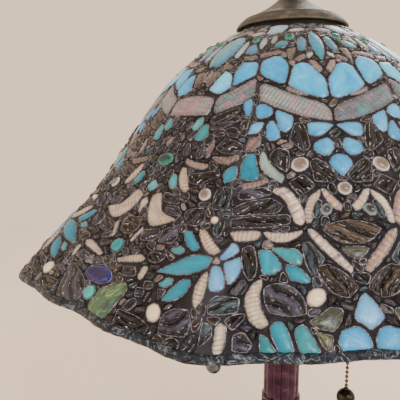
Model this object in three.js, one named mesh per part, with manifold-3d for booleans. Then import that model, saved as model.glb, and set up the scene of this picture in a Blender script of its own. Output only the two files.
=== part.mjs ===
// Leaded-glass table lamp: a bell shade of eight glass panels on a reeded two-light pull-chain base.
// Millimetres, +Z up. The origin is the centre of the face that the lamp stands on, -Y is the front.
import * as THREE from 'three';
import { mergeVertices } from 'three/addons/utils/BufferGeometryUtils.js';
import Module from 'manifold-3d';

const wasm = await Module();
wasm.setup();

// ---- Driving dimensions ----
const GAP = 0.3;                    // clearance kept between neighbouring pieces
const RIM_Z = 345;                  // plane of the shade's lower edge

// Shade: a bell profile turned about Z, whose skirt swells into eight corners
const PANELS = 8;
const SHADE_R = 224;                // mean radius at the rim
const SHADE_TOP_R = 45;             // radius where the glass starts under the cap
const LOBE_START_R = 123;           // the corners fade out above this radius
const CORNER_AZIMUTH = -10.4;       // degrees from -Y to the front corner, + towards +X
const LOBES = [[8, 6.4], [16, 1.0], [24, 1.6]];  // [waves round the rim, swing]
const ALTERNATE_LOBE = 3.6;         // every second panel bulges this much, the others sit back
const SHADE_OUT = 1.5;              // glass and solder outside the reference bell
const SHADE_IN = 2.0;               // and inside it
const RIM_CAME_R = 2.8;
const BELL = [                      // reference bell: [radius, height above the rim]
  [44, 189], [80, 167.5], [108, 143], [136, 105.5], [171, 58], [203, 24.5], [SHADE_R, 0],
];

// Top fittings, heights above the rim
const CAP_R = 48;
const CAP_EDGE_Z = 190.2;
const CAP_SKIRT = 8;
const CAP_TOP_Z = 226;
const CAP_WALL = 1.2;
const SPIDER_Z = 179.5;
const SPIDER_THICK = 3;
const SPIDER_R = 41.5;
const STUD_R = 3.1;                 // threaded stud through the cap and the finial
const FINIAL_HEIGHT = 46;
const FINIAL_R = 11;
const INSERT_LENGTH = 12;

// Stem and foot
const FOOT_R = 89;
const FOOT_TOP_Z = 40;
const FELT_THICK = 1.5;
const STEM_R = 17.5;
const STEM_BORE_R = 8;
const REEDS = 12;
const REED_DEPTH = 1.3;
const ORNAMENT_Z = [RIM_Z - 180, RIM_Z - 155];
const STEM_TOP_Z = RIM_Z - 27;
const ROD_R = 4.75;
const ROD_BORE_R = 3.2;

// Two-light cluster, heights above the rim
const CLUSTER_TURN = -14;           // degrees from +X to the right-hand socket
const SOCKET_REACH = 64;            // lamp axis to socket axis
const SOCKET_Z = 2;                 // underside of the socket cap
const HUB_R = 15;
const SOCKET_R = 16.3;
const SOCKET_LENGTH = 58;
const MOUTH_HEIGHT = 28;            // pull-chain mouth above the underside of the socket cap
const MOUTH_REACH = 22;             // socket axis to the hanging chain
const BULB_R = 30;
const BULB_TIP = 140;               // above the underside of the socket cap

// Pull chains: bead chain with a coupling half way and a ball at the end
const BEAD_R = 1.6;
const BEAD_PITCH = 4.2;
const UPPER_BEADS = 15;
const LOWER_BEADS = 18;
const BALL_R = 8;
const COUPLER_LENGTH = 9;

const lamp = new THREE.Group();

// ---- Materials: [colour, roughness, metalness] ----
const FINISHES = {
  bronze: [0x3a241d, 0.42, 0.85],
  capBronze: [0x4b4336, 0.45, 0.85],
  iron: [0x3c3d40, 0.7, 0.7],
  steel: [0xa9abac, 0.35, 0.95],
  brass: [0xb08d4a, 0.35, 0.95],
  lead: [0x4a525c, 0.42, 0.8],
  glassBlue: [0x6fb4d2, 0.18, 0.0],
  glassDark: [0x4b4a50, 0.22, 0.0],
  bulbGlass: [0xf1efe8, 0.25, 0.0],
  porcelain: [0xe8e4da, 0.3, 0.0],
  card: [0x8a7658, 0.85, 0.0],
  rubber: [0x1d1c1b, 0.7, 0.0],
  felt: [0x2c3a2e, 0.95, 0.0],
};

function finish(name) {
  const [color, roughness, metalness] = FINISHES[name];
  return new THREE.MeshStandardMaterial({ color, roughness, metalness });
}

// ---- Geometry helpers ----
// Merge the shared vertices, drop the slivers on an axis, and turn every face outwards.
function closed(geometry) {
  const bare = geometry.index ? geometry.clone() : mergeVertices(geometry);
  bare.deleteAttribute('normal');
  bare.deleteAttribute('uv');
  const merged = mergeVertices(bare, 1e-4);
  const position = merged.attributes.position;
  const kept = [];
  const corners = [new THREE.Vector3(), new THREE.Vector3(), new THREE.Vector3()];
  let volume = 0;
  for (let i = 0; i < merged.index.count; i += 3) {
    const triangle = [0, 1, 2].map((k) => merged.index.getX(i + k));
    if (new Set(triangle).size < 3) continue;
    triangle.forEach((vertex, k) => corners[k].fromBufferAttribute(position, vertex));
    volume += corners[0].dot(corners[1].clone().cross(corners[2]));
    kept.push(triangle);
  }
  const order = volume < 0 ? [0, 2, 1] : [0, 1, 2];
  merged.setIndex(kept.flatMap((triangle) => order.map((k) => triangle[k])));
  return merged;
}

function toManifold(geometry) {
  const solid = closed(geometry);
  return new wasm.Manifold(new wasm.Mesh({
    numProp: 3,
    vertProperties: new Float32Array(solid.attributes.position.array),
    triVerts: new Uint32Array(solid.index.array),
  }));
}

function fromManifold(solid) {
  const mesh = solid.getMesh();
  const geometry = new THREE.BufferGeometry();
  geometry.setAttribute('position', new THREE.BufferAttribute(mesh.vertProperties, 3));
  geometry.setIndex(new THREE.BufferAttribute(mesh.triVerts, 1));
  return geometry;
}

function add(parent, name, geometry, finishName) {
  const mesh = new THREE.Mesh(closed(geometry), finish(finishName));
  mesh.name = name;
  parent.add(mesh);
  return mesh;
}

// Turn [radius, height] points about Z.
function turned(points, segments = 20) {
  const profile = points.map(([r, z]) => new THREE.Vector2(r, z));
  return new THREE.LatheGeometry(profile, segments).rotateX(Math.PI / 2);
}

// A turned ring whose profile closes on itself.
function ring(points, segments = 20) {
  return turned([...points, points[0]], segments);
}

function tube(outer, inner, low, high, segments = 16) {
  return ring([[inner, low], [outer, low], [outer, high], [inner, high]], segments);
}

function hexNut(bore, acrossFlats, low, high) {
  const hexagon = new THREE.Shape();
  for (let corner = 0; corner < 6; corner += 1) {
    const turn = (corner / 6) * 2 * Math.PI;
    const reach = acrossFlats / 2 / Math.cos(Math.PI / 6);
    hexagon[corner ? 'lineTo' : 'moveTo'](reach * Math.cos(turn), reach * Math.sin(turn));
  }
  hexagon.closePath();
  hexagon.holes.push(new THREE.Path().absarc(0, 0, bore, 0, 2 * Math.PI, true));
  return new THREE.ExtrudeGeometry(hexagon, { depth: high - low, bevelEnabled: false, curveSegments: 8 })
    .translate(0, 0, low);
}

// Cut round reeds into everything outside a radius.
function reeded(geometry, count, depth, fromRadius) {
  const position = geometry.attributes.position;
  for (let i = 0; i < position.count; i += 1) {
    const x = position.getX(i);
    const y = position.getY(i);
    const r = Math.hypot(x, y);
    if (r < fromRadius) continue;
    const scale = 1 - (depth / r) * (0.5 - 0.5 * Math.cos(count * Math.atan2(y, x)));
    position.setXY(i, x * scale, y * scale);
  }
  return geometry;
}

// ---- Shade surface ----
// Height and slope of the reference bell: a cubic through the points of BELL.
function bell(radius) {
  const last = BELL.length - 1;
  const slope = (i) => {
    const low = BELL[Math.max(i - 1, 0)];
    const high = BELL[Math.min(i + 1, last)];
    return (high[1] - low[1]) / (high[0] - low[0]);
  };
  let i = 0;
  while (i < last - 1 && radius > BELL[i + 1][0]) i += 1;
  const [r0, z0] = BELL[i];
  const [r1, z1] = BELL[i + 1];
  const width = r1 - r0;
  const t = (radius - r0) / width;
  const m0 = slope(i) * width;
  const m1 = slope(i + 1) * width;
  const height = (2 * t ** 3 - 3 * t ** 2 + 1) * z0 + (t ** 3 - 2 * t ** 2 + t) * m0
    + (3 * t ** 2 - 2 * t ** 3) * z1 + (t ** 3 - t ** 2) * m1;
  const rise = (6 * t ** 2 - 6 * t) * (z0 - z1) + (3 * t ** 2 - 4 * t + 1) * m0 + (3 * t ** 2 - 2 * t) * m1;
  return { height, slope: rise / width };
}

// Outward swing of the skirt, for an angle in radians from the front corner.
function lobe(angle) {
  const corners = LOBES.reduce((sum, [waves, swing]) => sum + swing * Math.cos(waves * angle), 0);
  return corners + ALTERNATE_LOBE * Math.cos(4 * angle + Math.PI / 2);
}

// A point of the shade: angle from the front corner, bell radius, distance outside the bell.
function shadePoint(angle, radius, offset) {
  const { height, slope } = bell(radius);
  const length = Math.hypot(slope, 1);
  const fade = THREE.MathUtils.smoothstep(radius, LOBE_START_R, SHADE_R);
  const r = radius + fade * lobe(angle) - (offset * slope) / length;
  const azimuth = angle + THREE.MathUtils.degToRad(CORNER_AZIMUTH);
  const z = RIM_Z + height + offset / length;
  return new THREE.Vector3(r * Math.sin(azimuth), -r * Math.cos(azimuth), z);
}

// One closed panel: two skins of a grid, joined round their edges.
function panelGeometry(index) {
  const columns = 8;
  const rows = 10;
  const lowestR = SHADE_R - 2.6;    // the glass stops just above the rim came
  const points = [];
  for (const offset of [SHADE_OUT, -SHADE_IN]) {
    for (let row = 0; row <= rows; row += 1) {
      const radius = SHADE_TOP_R + ((lowestR - SHADE_TOP_R) * row) / rows;
      const edge = GAP / 2 / radius;
      for (let column = 0; column <= columns; column += 1) {
        const low = (index / PANELS) * 2 * Math.PI + edge;
        const high = ((index + 1) / PANELS) * 2 * Math.PI - edge;
        points.push(...shadePoint(low + ((high - low) * column) / columns, radius, offset).toArray());
      }
    }
  }
  const stride = columns + 1;
  const skin = stride * (rows + 1);
  const at = (layer, row, column) => layer * skin + row * stride + column;
  const faces = [];
  const quad = (a, b, c, d) => faces.push(a, b, c, a, c, d);
  for (let row = 0; row < rows; row += 1) {
    for (let column = 0; column < columns; column += 1) {
      quad(at(0, row, column), at(0, row + 1, column), at(0, row + 1, column + 1), at(0, row, column + 1));
      quad(at(1, row, column), at(1, row, column + 1), at(1, row + 1, column + 1), at(1, row + 1, column));
    }
    quad(at(1, row, 0), at(1, row + 1, 0), at(0, row + 1, 0), at(0, row, 0));
    quad(at(0, row, columns), at(0, row + 1, columns), at(1, row + 1, columns), at(1, row, columns));
  }
  for (let column = 0; column < columns; column += 1) {
    quad(at(0, 0, column), at(0, 0, column + 1), at(1, 0, column + 1), at(1, 0, column));
    quad(at(1, rows, column), at(1, rows, column + 1), at(0, rows, column + 1), at(0, rows, column));
  }
  const geometry = new THREE.BufferGeometry();
  geometry.setAttribute('position', new THREE.Float32BufferAttribute(points, 3));
  geometry.setIndex(faces);
  return geometry;
}

// The round lead edge: a ring of sections that follow the wavy rim.
function rimCameGeometry() {
  const around = 96;
  const sides = 5;
  const points = [];
  const faces = [];
  for (let i = 0; i < around; i += 1) {
    const angle = (i / around) * 2 * Math.PI;
    const centre = shadePoint(angle, SHADE_R, 0);
    const outward = new THREE.Vector3(centre.x, centre.y, 0).normalize();
    for (let side = 0; side < sides; side += 1) {
      const turn = (side / sides) * 2 * Math.PI;
      const point = centre.clone().addScaledVector(outward, RIM_CAME_R * Math.cos(turn));
      point.z += RIM_CAME_R * Math.sin(turn);
      points.push(...point.toArray());
      const next = (side + 1) % sides;
      const here = i * sides;
      const there = ((i + 1) % around) * sides;
      faces.push(here + side, there + side, there + next, here + side, there + next, here + next);
    }
  }
  const geometry = new THREE.BufferGeometry();
  geometry.setAttribute('position', new THREE.Float32BufferAttribute(points, 3));
  geometry.setIndex(faces);
  return geometry;
}

function buildShade() {
  for (let index = 0; index < PANELS; index += 1) {
    add(lamp, `shade_panel_${index + 1}`, panelGeometry(index), index % 2 ? 'glassDark' : 'glassBlue');
  }
  add(lamp, 'shade_rim_came', rimCameGeometry(), 'lead');
  const flange = RIM_Z + SPIDER_Z + SPIDER_THICK + GAP;
  add(lamp, 'shade_top_ring', ring([
    [35, flange], [42.5, flange], [43.2, flange + 8], [41.7, flange + 8], [41.2, flange + 1.5], [35, flange + 1.5],
  ], 32), 'brass');
}

// ---- Cap and finial ----
function buildCap() {
  const edge = RIM_Z + CAP_EDGE_Z;
  const top = RIM_Z + CAP_TOP_Z;
  const neckR = 8.4;
  const shoulder = edge + CAP_SKIRT;
  const flare = new THREE.QuadraticBezierCurve(
    new THREE.Vector2(CAP_R - 3, shoulder + 1.2),
    new THREE.Vector2(17, shoulder + 8),
    new THREE.Vector2(neckR, top - 7),
  ).getPoints(5).map((point) => [point.x, point.y]);
  const outer = [[CAP_R, edge], [CAP_R, shoulder - 2.5], [CAP_R - 0.9, shoulder], ...flare, [7, top]];
  const inner = [[CAP_R - CAP_WALL, edge], [CAP_R - CAP_WALL, shoulder - 3], [CAP_R - 2.2, shoulder - 1]];
  for (const [r, z] of flare) inner.push([r - 0.7, z - CAP_WALL]);
  inner.push([STUD_R + 0.5, top - CAP_WALL - 1.6]);
  const opening = [[STUD_R + 0.5, top]];
  add(lamp, 'vented_cap', ring([...outer, ...opening, ...inner.reverse()], 32), 'capBronze');

  const seat = top + GAP;
  const knobZ = seat + 27;
  const egg = [];
  for (let step = 0; step <= 5; step += 1) {
    const turn = (-0.36 + (0.72 * step) / 5) * Math.PI;
    egg.push([FINIAL_R * Math.cos(turn), knobZ + 14 * Math.sin(turn)]);
  }
  const boreR = 5.5;
  const boreTop = seat + INSERT_LENGTH + 1;
  add(lamp, 'finial_knob', turned([
    [0, boreTop], [boreR, boreTop], [boreR, seat], [7.6, seat], [8.2, seat + 1.4], [6.6, seat + 3],
    [6.4, seat + 9], ...egg, [1.6, seat + FINIAL_HEIGHT - 3], [0, seat + FINIAL_HEIGHT],
  ]), 'bronze');
  add(lamp, 'finial_insert', tube(5.2, STUD_R + GAP, seat, seat + INSERT_LENGTH), 'brass');
  add(lamp, 'finial_stud', turned([
    [0, RIM_Z + 160], [STUD_R, RIM_Z + 160], [STUD_R, seat + INSERT_LENGTH - 1], [0, seat + INSERT_LENGTH],
  ], 16), 'steel');
}

// The wheel that carries the shade: a hub and a rim joined by spokes.
function buildSpider() {
  const spokes = 4;
  const halfSpoke = 3;
  const hubR = 10;
  const windowR = 35;
  const wheel = new THREE.Shape().absarc(0, 0, SPIDER_R, 0, 2 * Math.PI);
  const bore = new THREE.Path().absarc(0, 0, 5 + GAP, 0, 2 * Math.PI, true);
  wheel.holes.push(bore);
  for (let spoke = 0; spoke < spokes; spoke += 1) {
    const low = (spoke / spokes) * 2 * Math.PI;
    const high = ((spoke + 1) / spokes) * 2 * Math.PI;
    const window = new THREE.Path();
    window.absarc(0, 0, windowR, low + halfSpoke / windowR, high - halfSpoke / windowR);
    window.absarc(0, 0, hubR, high - halfSpoke / hubR, low + halfSpoke / hubR, true);
    window.closePath();
    wheel.holes.push(window);
  }
  const geometry = new THREE.ExtrudeGeometry(wheel, {
    depth: SPIDER_THICK, bevelEnabled: false, curveSegments: 5,
  });
  geometry.translate(0, 0, RIM_Z + SPIDER_Z);
  add(lamp, 'shade_spider', geometry, 'brass');
  const riserLow = RIM_Z + 13 + GAP;
  add(lamp, 'riser_tube', tube(5, STUD_R + GAP, riserLow, RIM_Z + SPIDER_Z + SPIDER_THICK), 'brass');
  const nutTop = RIM_Z + SPIDER_Z - GAP;
  add(lamp, 'riser_locknut', hexNut(5 + 2 * GAP, 16, nutTop - 5, nutTop), 'steel');
}

// ---- Foot and stem ----
function buildFoot() {
  add(lamp, 'felt_ring', tube(84, 40, 0, FELT_THICK, 40), 'felt');
  const low = FELT_THICK + GAP;
  const outer = [[FOOT_R, low], [FOOT_R, low + 4], [86, 10], [76, 15], [60, 19.5], [42, 26], [30, 34]];
  const inner = [[26, 34.5], [38, 23], [58, 15.5], [74, 11.2], [83, 6.5], [83, low]];
  const top = [[27, FOOT_TOP_Z], [ROD_R + GAP, FOOT_TOP_Z], [ROD_R + GAP, 34.5]];
  const shell = reeded(ring([...outer, ...top, ...inner], 4 * REEDS), REEDS, 1.6, 40);
  const outlet = new THREE.CylinderGeometry(5.3, 5.3, 16, 16).translate(0, FOOT_R - 6, 7.4);
  add(lamp, 'base_foot', fromManifold(toManifold(shell).subtract(toManifold(outlet))), 'bronze');
  add(lamp, 'cord_bushing', tube(5, 3.2, 0, 9, 16).rotateX(-Math.PI / 2).translate(0, FOOT_R - 8, 7.4), 'rubber');
  add(lamp, 'base_weight', ring([
    [30, 3.4], [72, 3.4], [72, 9], [56, 12.5], [38, 17.5], [30, 17.5],
  ], 32), 'iron');
  add(lamp, 'foot_washer', tube(13, ROD_R + GAP, 32.4, 34.2), 'steel');
  add(lamp, 'foot_locknut', hexNut(ROD_R + 2 * GAP, 17, 25.6, 32.1), 'steel');
  const rodTop = RIM_Z + 5;
  add(lamp, 'lamp_rod', tube(ROD_R, ROD_BORE_R, 22, rodTop, 16), 'steel');
}

function buildStem() {
  const [ringLow, ringHigh] = ORNAMENT_Z;
  const flareLow = FOOT_TOP_Z + GAP;
  const flare = [
    [STEM_BORE_R, flareLow], [30, flareLow], [31, flareLow + 3], [29, flareLow + 7], [23.5, flareLow + 16],
    [19.6, flareLow + 34], [18, flareLow + 60], [STEM_R, ringLow - GAP], [STEM_BORE_R, ringLow - GAP],
  ];
  add(lamp, 'stem_flare', reeded(ring(flare, 4 * REEDS), REEDS, REED_DEPTH, 12), 'bronze');
  const middle = (ringLow + ringHigh) / 2;
  add(lamp, 'stem_ornament', reeded(ring([
    [STEM_BORE_R, ringLow], [18.5, ringLow], [19.6, ringLow + 3], [18.2, ringLow + 6], [20, middle],
    [18.2, ringHigh - 6], [19.6, ringHigh - 3], [18.5, ringHigh], [STEM_BORE_R, ringHigh],
  ], 4 * REEDS), REEDS, 1.2, 12), 'bronze');
  add(lamp, 'stem_column', reeded(ring([
    [STEM_BORE_R, ringHigh + GAP], [STEM_R, ringHigh + GAP], [STEM_R, STEM_TOP_Z], [STEM_BORE_R, STEM_TOP_Z],
  ], 4 * REEDS), REEDS, REED_DEPTH, 12), 'bronze');
  const collar = STEM_TOP_Z + GAP;
  add(lamp, 'stem_collar', ring([
    [ROD_R + GAP, collar], [20.5, collar], [21.5, collar + 2], [20.5, collar + 4], [17, collar + 5.5],
    [16, collar + 11.5], [ROD_R + GAP, collar + 11.5],
  ]), 'bronze');
}

// ---- Cluster, sockets, bulbs and chains ----
function buildHub() {
  const low = STEM_TOP_Z + 12.1;
  add(lamp, 'cluster_hub', ring([
    [ROD_R + GAP, low], [12, low], [HUB_R, low + 5], [HUB_R, low + 20], [10, low + 27.9], [6.5, low + 27.9],
    [6.5, low + 21], [ROD_R + GAP, low + 21],
  ], 24), 'brass');
}

function beadChain(beads, top) {
  const points = [[0, top]];
  for (let bead = 0; bead < beads; bead += 1) {
    const centre = top - (bead + 0.5) * BEAD_PITCH;
    points.push([0.55, centre + BEAD_PITCH / 2 - 0.05], [BEAD_R, centre]);
  }
  points.push([0.55, top - beads * BEAD_PITCH], [0, top - beads * BEAD_PITCH]);
  return turned(points, 5);
}

function buildChain(side, x, y) {
  const group = new THREE.Group();
  group.position.set(x, y, RIM_Z + SOCKET_Z + MOUTH_HEIGHT);
  lamp.add(group);
  add(group, `chain_anchor_${side}`, new THREE.SphereGeometry(1.9, 8, 6).rotateX(Math.PI / 2), 'brass');
  const upperTop = -1.9 - GAP;
  const couplerTop = upperTop - UPPER_BEADS * BEAD_PITCH - GAP;
  const lowerTop = couplerTop - COUPLER_LENGTH - GAP;
  const ballTop = lowerTop - LOWER_BEADS * BEAD_PITCH - GAP;
  add(group, `chain_upper_${side}`, beadChain(UPPER_BEADS, upperTop), 'brass');
  add(group, `chain_coupler_${side}`, turned([
    [0, couplerTop - COUPLER_LENGTH], [1.4, couplerTop - COUPLER_LENGTH], [2.1, couplerTop - COUPLER_LENGTH + 1.5],
    [2.1, couplerTop - 1.5], [1.4, couplerTop], [0, couplerTop],
  ], 10), 'brass');
  add(group, `chain_lower_${side}`, beadChain(LOWER_BEADS, lowerTop), 'brass');
  const ball = [[0, ballTop], [2.2, ballTop], [2.2, ballTop - 1.6]];
  const steps = 8;
  const startTurn = Math.asin(2.6 / BALL_R);
  const centre = ballTop - 1.6 - BALL_R * Math.cos(startTurn);
  for (let step = 0; step <= steps; step += 1) {
    const turn = startTurn + ((Math.PI - startTurn) * step) / steps;
    ball.push([BALL_R * Math.sin(turn), centre + BALL_R * Math.cos(turn)]);
  }
  ball[ball.length - 1][0] = 0;
  add(group, `pull_ball_${side}`, turned(ball, 16), 'bronze');
}

function buildSocket(side, turn) {
  const group = new THREE.Group();
  group.position.set(SOCKET_REACH * Math.cos(turn), SOCKET_REACH * Math.sin(turn), RIM_Z + SOCKET_Z);
  lamp.add(group);

  const arm = new THREE.CubicBezierCurve3(
    new THREE.Vector3(HUB_R + GAP, 0, RIM_Z - 4),
    new THREE.Vector3(HUB_R + 22, 0, RIM_Z - 4),
    new THREE.Vector3(SOCKET_REACH, 0, RIM_Z - 22),
    new THREE.Vector3(SOCKET_REACH, 0, RIM_Z + SOCKET_Z - GAP),
  );
  const section = new THREE.Shape().absarc(0, 0, 4.2, 0, 2 * Math.PI);
  const armGeometry = new THREE.ExtrudeGeometry(section, { steps: 10, curveSegments: 5, extrudePath: arm });
  add(lamp, `cluster_arm_${side}`, armGeometry.rotateZ(turn), 'brass');

  // The socket is a cap and a shell over a card sleeve, a screw shell and a porcelain base.
  const split = 18;
  add(group, `socket_cap_${side}`, ring([
    [4.4, 0], [8, 0], [9.5, 3], [15.4, 9], [17, 13], [17, split], [16, split], [16, 13.4], [14.4, 9.8],
    [8.6, 4], [4.4, 1.2],
  ]), 'brass');
  const mouthTurn = -Math.PI / 2 + THREE.MathUtils.degToRad(CLUSTER_TURN);
  const hole = new THREE.CylinderGeometry(2.4, 2.4, 12, 8).rotateZ(Math.PI / 2)
    .translate(16, 0, MOUTH_HEIGHT).rotateZ(mouthTurn);
  const shell = ring([
    [SOCKET_R - 0.8, split + GAP], [SOCKET_R, split + GAP], [SOCKET_R, SOCKET_LENGTH - 1.5],
    [SOCKET_R + 0.7, SOCKET_LENGTH - 0.8], [SOCKET_R, SOCKET_LENGTH], [SOCKET_R - 0.8, SOCKET_LENGTH],
  ]);
  add(group, `socket_shell_${side}`, fromManifold(toManifold(shell).subtract(toManifold(hole))), 'brass');
  const sleeve = tube(15.1, 14.5, 20, 55);
  add(group, `socket_sleeve_${side}`, fromManifold(toManifold(sleeve).subtract(toManifold(hole))), 'card');
  add(group, `socket_screw_shell_${side}`, tube(14.1, 13.5, 32, 52), 'brass');
  add(group, `socket_base_${side}`, turned([
    [0, 19], [13.8, 19], [13.8, 22.5], [4, 22.5], [3, 24.2], [0, 24.4],
  ]), 'porcelain');
  add(group, `chain_mouth_${side}`, ring([
    [2.4, SOCKET_R + GAP], [4.2, SOCKET_R + GAP], [3.2, SOCKET_R + 1.6], [3.2, SOCKET_R + 2.4],
    [4, SOCKET_R + 3.6], [2.7, SOCKET_R + 3.6],
  ], 16).rotateY(Math.PI / 2).translate(0, 0, MOUTH_HEIGHT).rotateZ(mouthTurn), 'brass');

  add(group, `bulb_contact_${side}`, turned([[0, 24.8], [3.4, 25.1], [4.2, 26.8], [0, 26.8]], 16), 'steel');
  add(group, `bulb_base_${side}`, ring([
    [4.4, 27.2], [9, 30], [13.1, 32.4], [13.1, 52], [12.3, 52], [12.3, 33], [8.6, 31], [4.4, 28.2],
  ]), 'steel');
  const centre = BULB_TIP - BULB_R;
  const outside = [[12.6, 52.3], [13, 58], [16, 71], [22.5, 86]];
  const inside = [[11.6, 52.3], [12, 58], [15, 71.4], [21.6, 86.5]];
  const crownSteps = 4;
  for (let step = 0; step <= crownSteps; step += 1) {
    const angle = (-0.1 + (0.6 * step) / crownSteps) * Math.PI;
    const reach = step === crownSteps ? 0 : Math.cos(angle);
    outside.push([BULB_R * reach, centre + BULB_R * Math.sin(angle)]);
    inside.push([(BULB_R - 1) * reach, centre + (BULB_R - 1) * Math.sin(angle)]);
  }
  add(group, `bulb_glass_${side}`, ring([...outside, ...inside.reverse()], 20), 'bulbGlass');

  const chainX = group.position.x + MOUTH_REACH * Math.cos(mouthTurn);
  const chainY = group.position.y + MOUTH_REACH * Math.sin(mouthTurn);
  buildChain(side, chainX, chainY);
}

buildFoot();
buildStem();
buildHub();
buildSocket('right', THREE.MathUtils.degToRad(CLUSTER_TURN));
buildSocket('left', THREE.MathUtils.degToRad(CLUSTER_TURN + 180));
buildSpider();
buildShade();
buildCap();

export default lamp;
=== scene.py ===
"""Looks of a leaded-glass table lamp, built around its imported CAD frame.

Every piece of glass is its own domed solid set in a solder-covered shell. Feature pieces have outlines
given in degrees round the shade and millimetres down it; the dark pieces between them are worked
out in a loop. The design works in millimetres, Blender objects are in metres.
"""

import math
import random

import bpy
import numpy as np
from mathutils import Matrix, Vector, noise
from mathutils.geometry import delaunay_2d_cdt


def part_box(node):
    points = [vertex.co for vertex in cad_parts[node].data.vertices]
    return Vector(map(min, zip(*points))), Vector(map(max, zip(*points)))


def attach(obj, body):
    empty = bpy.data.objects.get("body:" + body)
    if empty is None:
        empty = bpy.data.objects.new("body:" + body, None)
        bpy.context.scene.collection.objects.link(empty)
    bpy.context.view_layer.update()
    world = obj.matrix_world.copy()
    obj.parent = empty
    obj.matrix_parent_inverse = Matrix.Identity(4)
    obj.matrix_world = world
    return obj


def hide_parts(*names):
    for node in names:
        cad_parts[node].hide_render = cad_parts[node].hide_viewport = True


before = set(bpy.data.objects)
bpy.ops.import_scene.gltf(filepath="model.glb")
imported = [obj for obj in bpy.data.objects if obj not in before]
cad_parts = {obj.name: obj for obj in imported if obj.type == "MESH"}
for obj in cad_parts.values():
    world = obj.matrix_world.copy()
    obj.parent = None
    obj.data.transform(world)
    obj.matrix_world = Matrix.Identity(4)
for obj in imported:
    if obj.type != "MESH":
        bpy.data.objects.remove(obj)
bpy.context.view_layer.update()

MM = 0.001
TAU = 2 * math.pi

# ---- Dimensions shared with the CAD model, in millimetres ----
RIM_Z = 345.0
SHADE_R = 224.0
SHADE_TOP_R = 45.0
LOBE_START_R = 123.0
CORNER_AZIMUTH = math.radians(-10.4)
LOBES = [(8, 6.4), (16, 1.0), (24, 1.6)]
ALTERNATE_LOBE = 3.6
BELL = [(44, 189), (80, 167.5), (108, 143), (136, 105.5), (171, 58), (203, 24.5), (SHADE_R, 0)]
PANELS = 8
EDGE = 22.5                         # degrees from a corner of the shade to the middle of a panel

# ---- Camera ----
CAMERA_BACK = 421.0
CAMERA_Z = RIM_Z + 110.5
CAMERA_PITCH = math.radians(9.61)
CAMERA_YAW = math.radians(-10.99)
CAMERA_ROLL = math.radians(-0.2)
SENSOR = 36.0
FOCAL = 1.1275 * SENSOR


def make_camera():
    """A camera that looks down on the shade, turned so that the lamp's axis stands right of the middle."""
    cos_yaw, sin_yaw = math.cos(CAMERA_YAW), math.sin(CAMERA_YAW)
    cos_pitch, sin_pitch = math.cos(CAMERA_PITCH), math.sin(CAMERA_PITCH)
    forward = Vector((sin_yaw * cos_pitch, cos_yaw * cos_pitch, -sin_pitch))
    level = Vector((cos_yaw, -sin_yaw, 0))
    upright = level.cross(forward)
    right = math.cos(CAMERA_ROLL) * level + math.sin(CAMERA_ROLL) * upright
    up = -math.sin(CAMERA_ROLL) * level + math.cos(CAMERA_ROLL) * upright
    data = bpy.data.cameras.new("camera")
    data.sensor_width = SENSOR
    data.lens = FOCAL
    data.clip_start = 0.01
    camera = bpy.data.objects.new("camera", data)
    bpy.context.scene.collection.objects.link(camera)
    turn = Matrix((right, up, -forward)).transposed().to_4x4()
    camera.matrix_world = Matrix.Translation(Vector((0, -CAMERA_BACK, CAMERA_Z)) * MM) @ turn
    bpy.context.scene.camera = camera


make_camera()


# ---- Shade surface ----
def bell_height(radius):
    """Height of the reference bell above the rim: a cubic through the points of BELL."""
    radius = np.asarray(radius, float)
    knots = np.array(BELL, float)
    last = len(knots) - 1
    low = knots[np.maximum(np.arange(last + 1) - 1, 0)]
    high = knots[np.minimum(np.arange(last + 1) + 1, last)]
    slopes = (high[:, 1] - low[:, 1]) / (high[:, 0] - low[:, 0])
    i = np.clip(np.searchsorted(knots[:, 0], radius) - 1, 0, last - 1)
    width = knots[i + 1, 0] - knots[i, 0]
    t = (radius - knots[i, 0]) / width
    start = (2 * t ** 3 - 3 * t ** 2 + 1) * knots[i, 1] + (t ** 3 - 2 * t ** 2 + t) * slopes[i] * width
    return start + (3 * t ** 2 - 2 * t ** 3) * knots[i + 1, 1] + (t ** 3 - t ** 2) * slopes[i + 1] * width


RADII = np.linspace(SHADE_TOP_R, SHADE_R, 900)
HEIGHTS = bell_height(RADII)
DOWN = np.concatenate([[0], np.cumsum(np.hypot(np.diff(RADII), np.diff(HEIGHTS)))])
SHADE_LENGTH = float(DOWN[-1])
SLOPES = np.gradient(HEIGHTS, RADII)


def radius_at(s):
    return np.interp(s, DOWN, RADII)


def shade_points(angle, s, h):
    """Points in metres: angle from the front corner, millimetres down the bell, millimetres outside it."""
    radius = radius_at(s)
    slope = np.interp(s, DOWN, SLOPES)
    length = np.hypot(slope, 1)
    fade = np.clip((radius - LOBE_START_R) / (SHADE_R - LOBE_START_R), 0, 1)
    fade = fade * fade * (3 - 2 * fade)
    lobe = sum(swing * np.cos(waves * angle) for waves, swing in LOBES)
    lobe = lobe + ALTERNATE_LOBE * np.cos(4 * angle + math.pi / 2)
    r = radius + fade * lobe - h * slope / length
    azimuth = angle + CORNER_AZIMUTH
    z = RIM_Z + bell_height(radius) + h / length
    return np.stack([r * np.sin(azimuth), -r * np.cos(azimuth), z], -1) * MM


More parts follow.
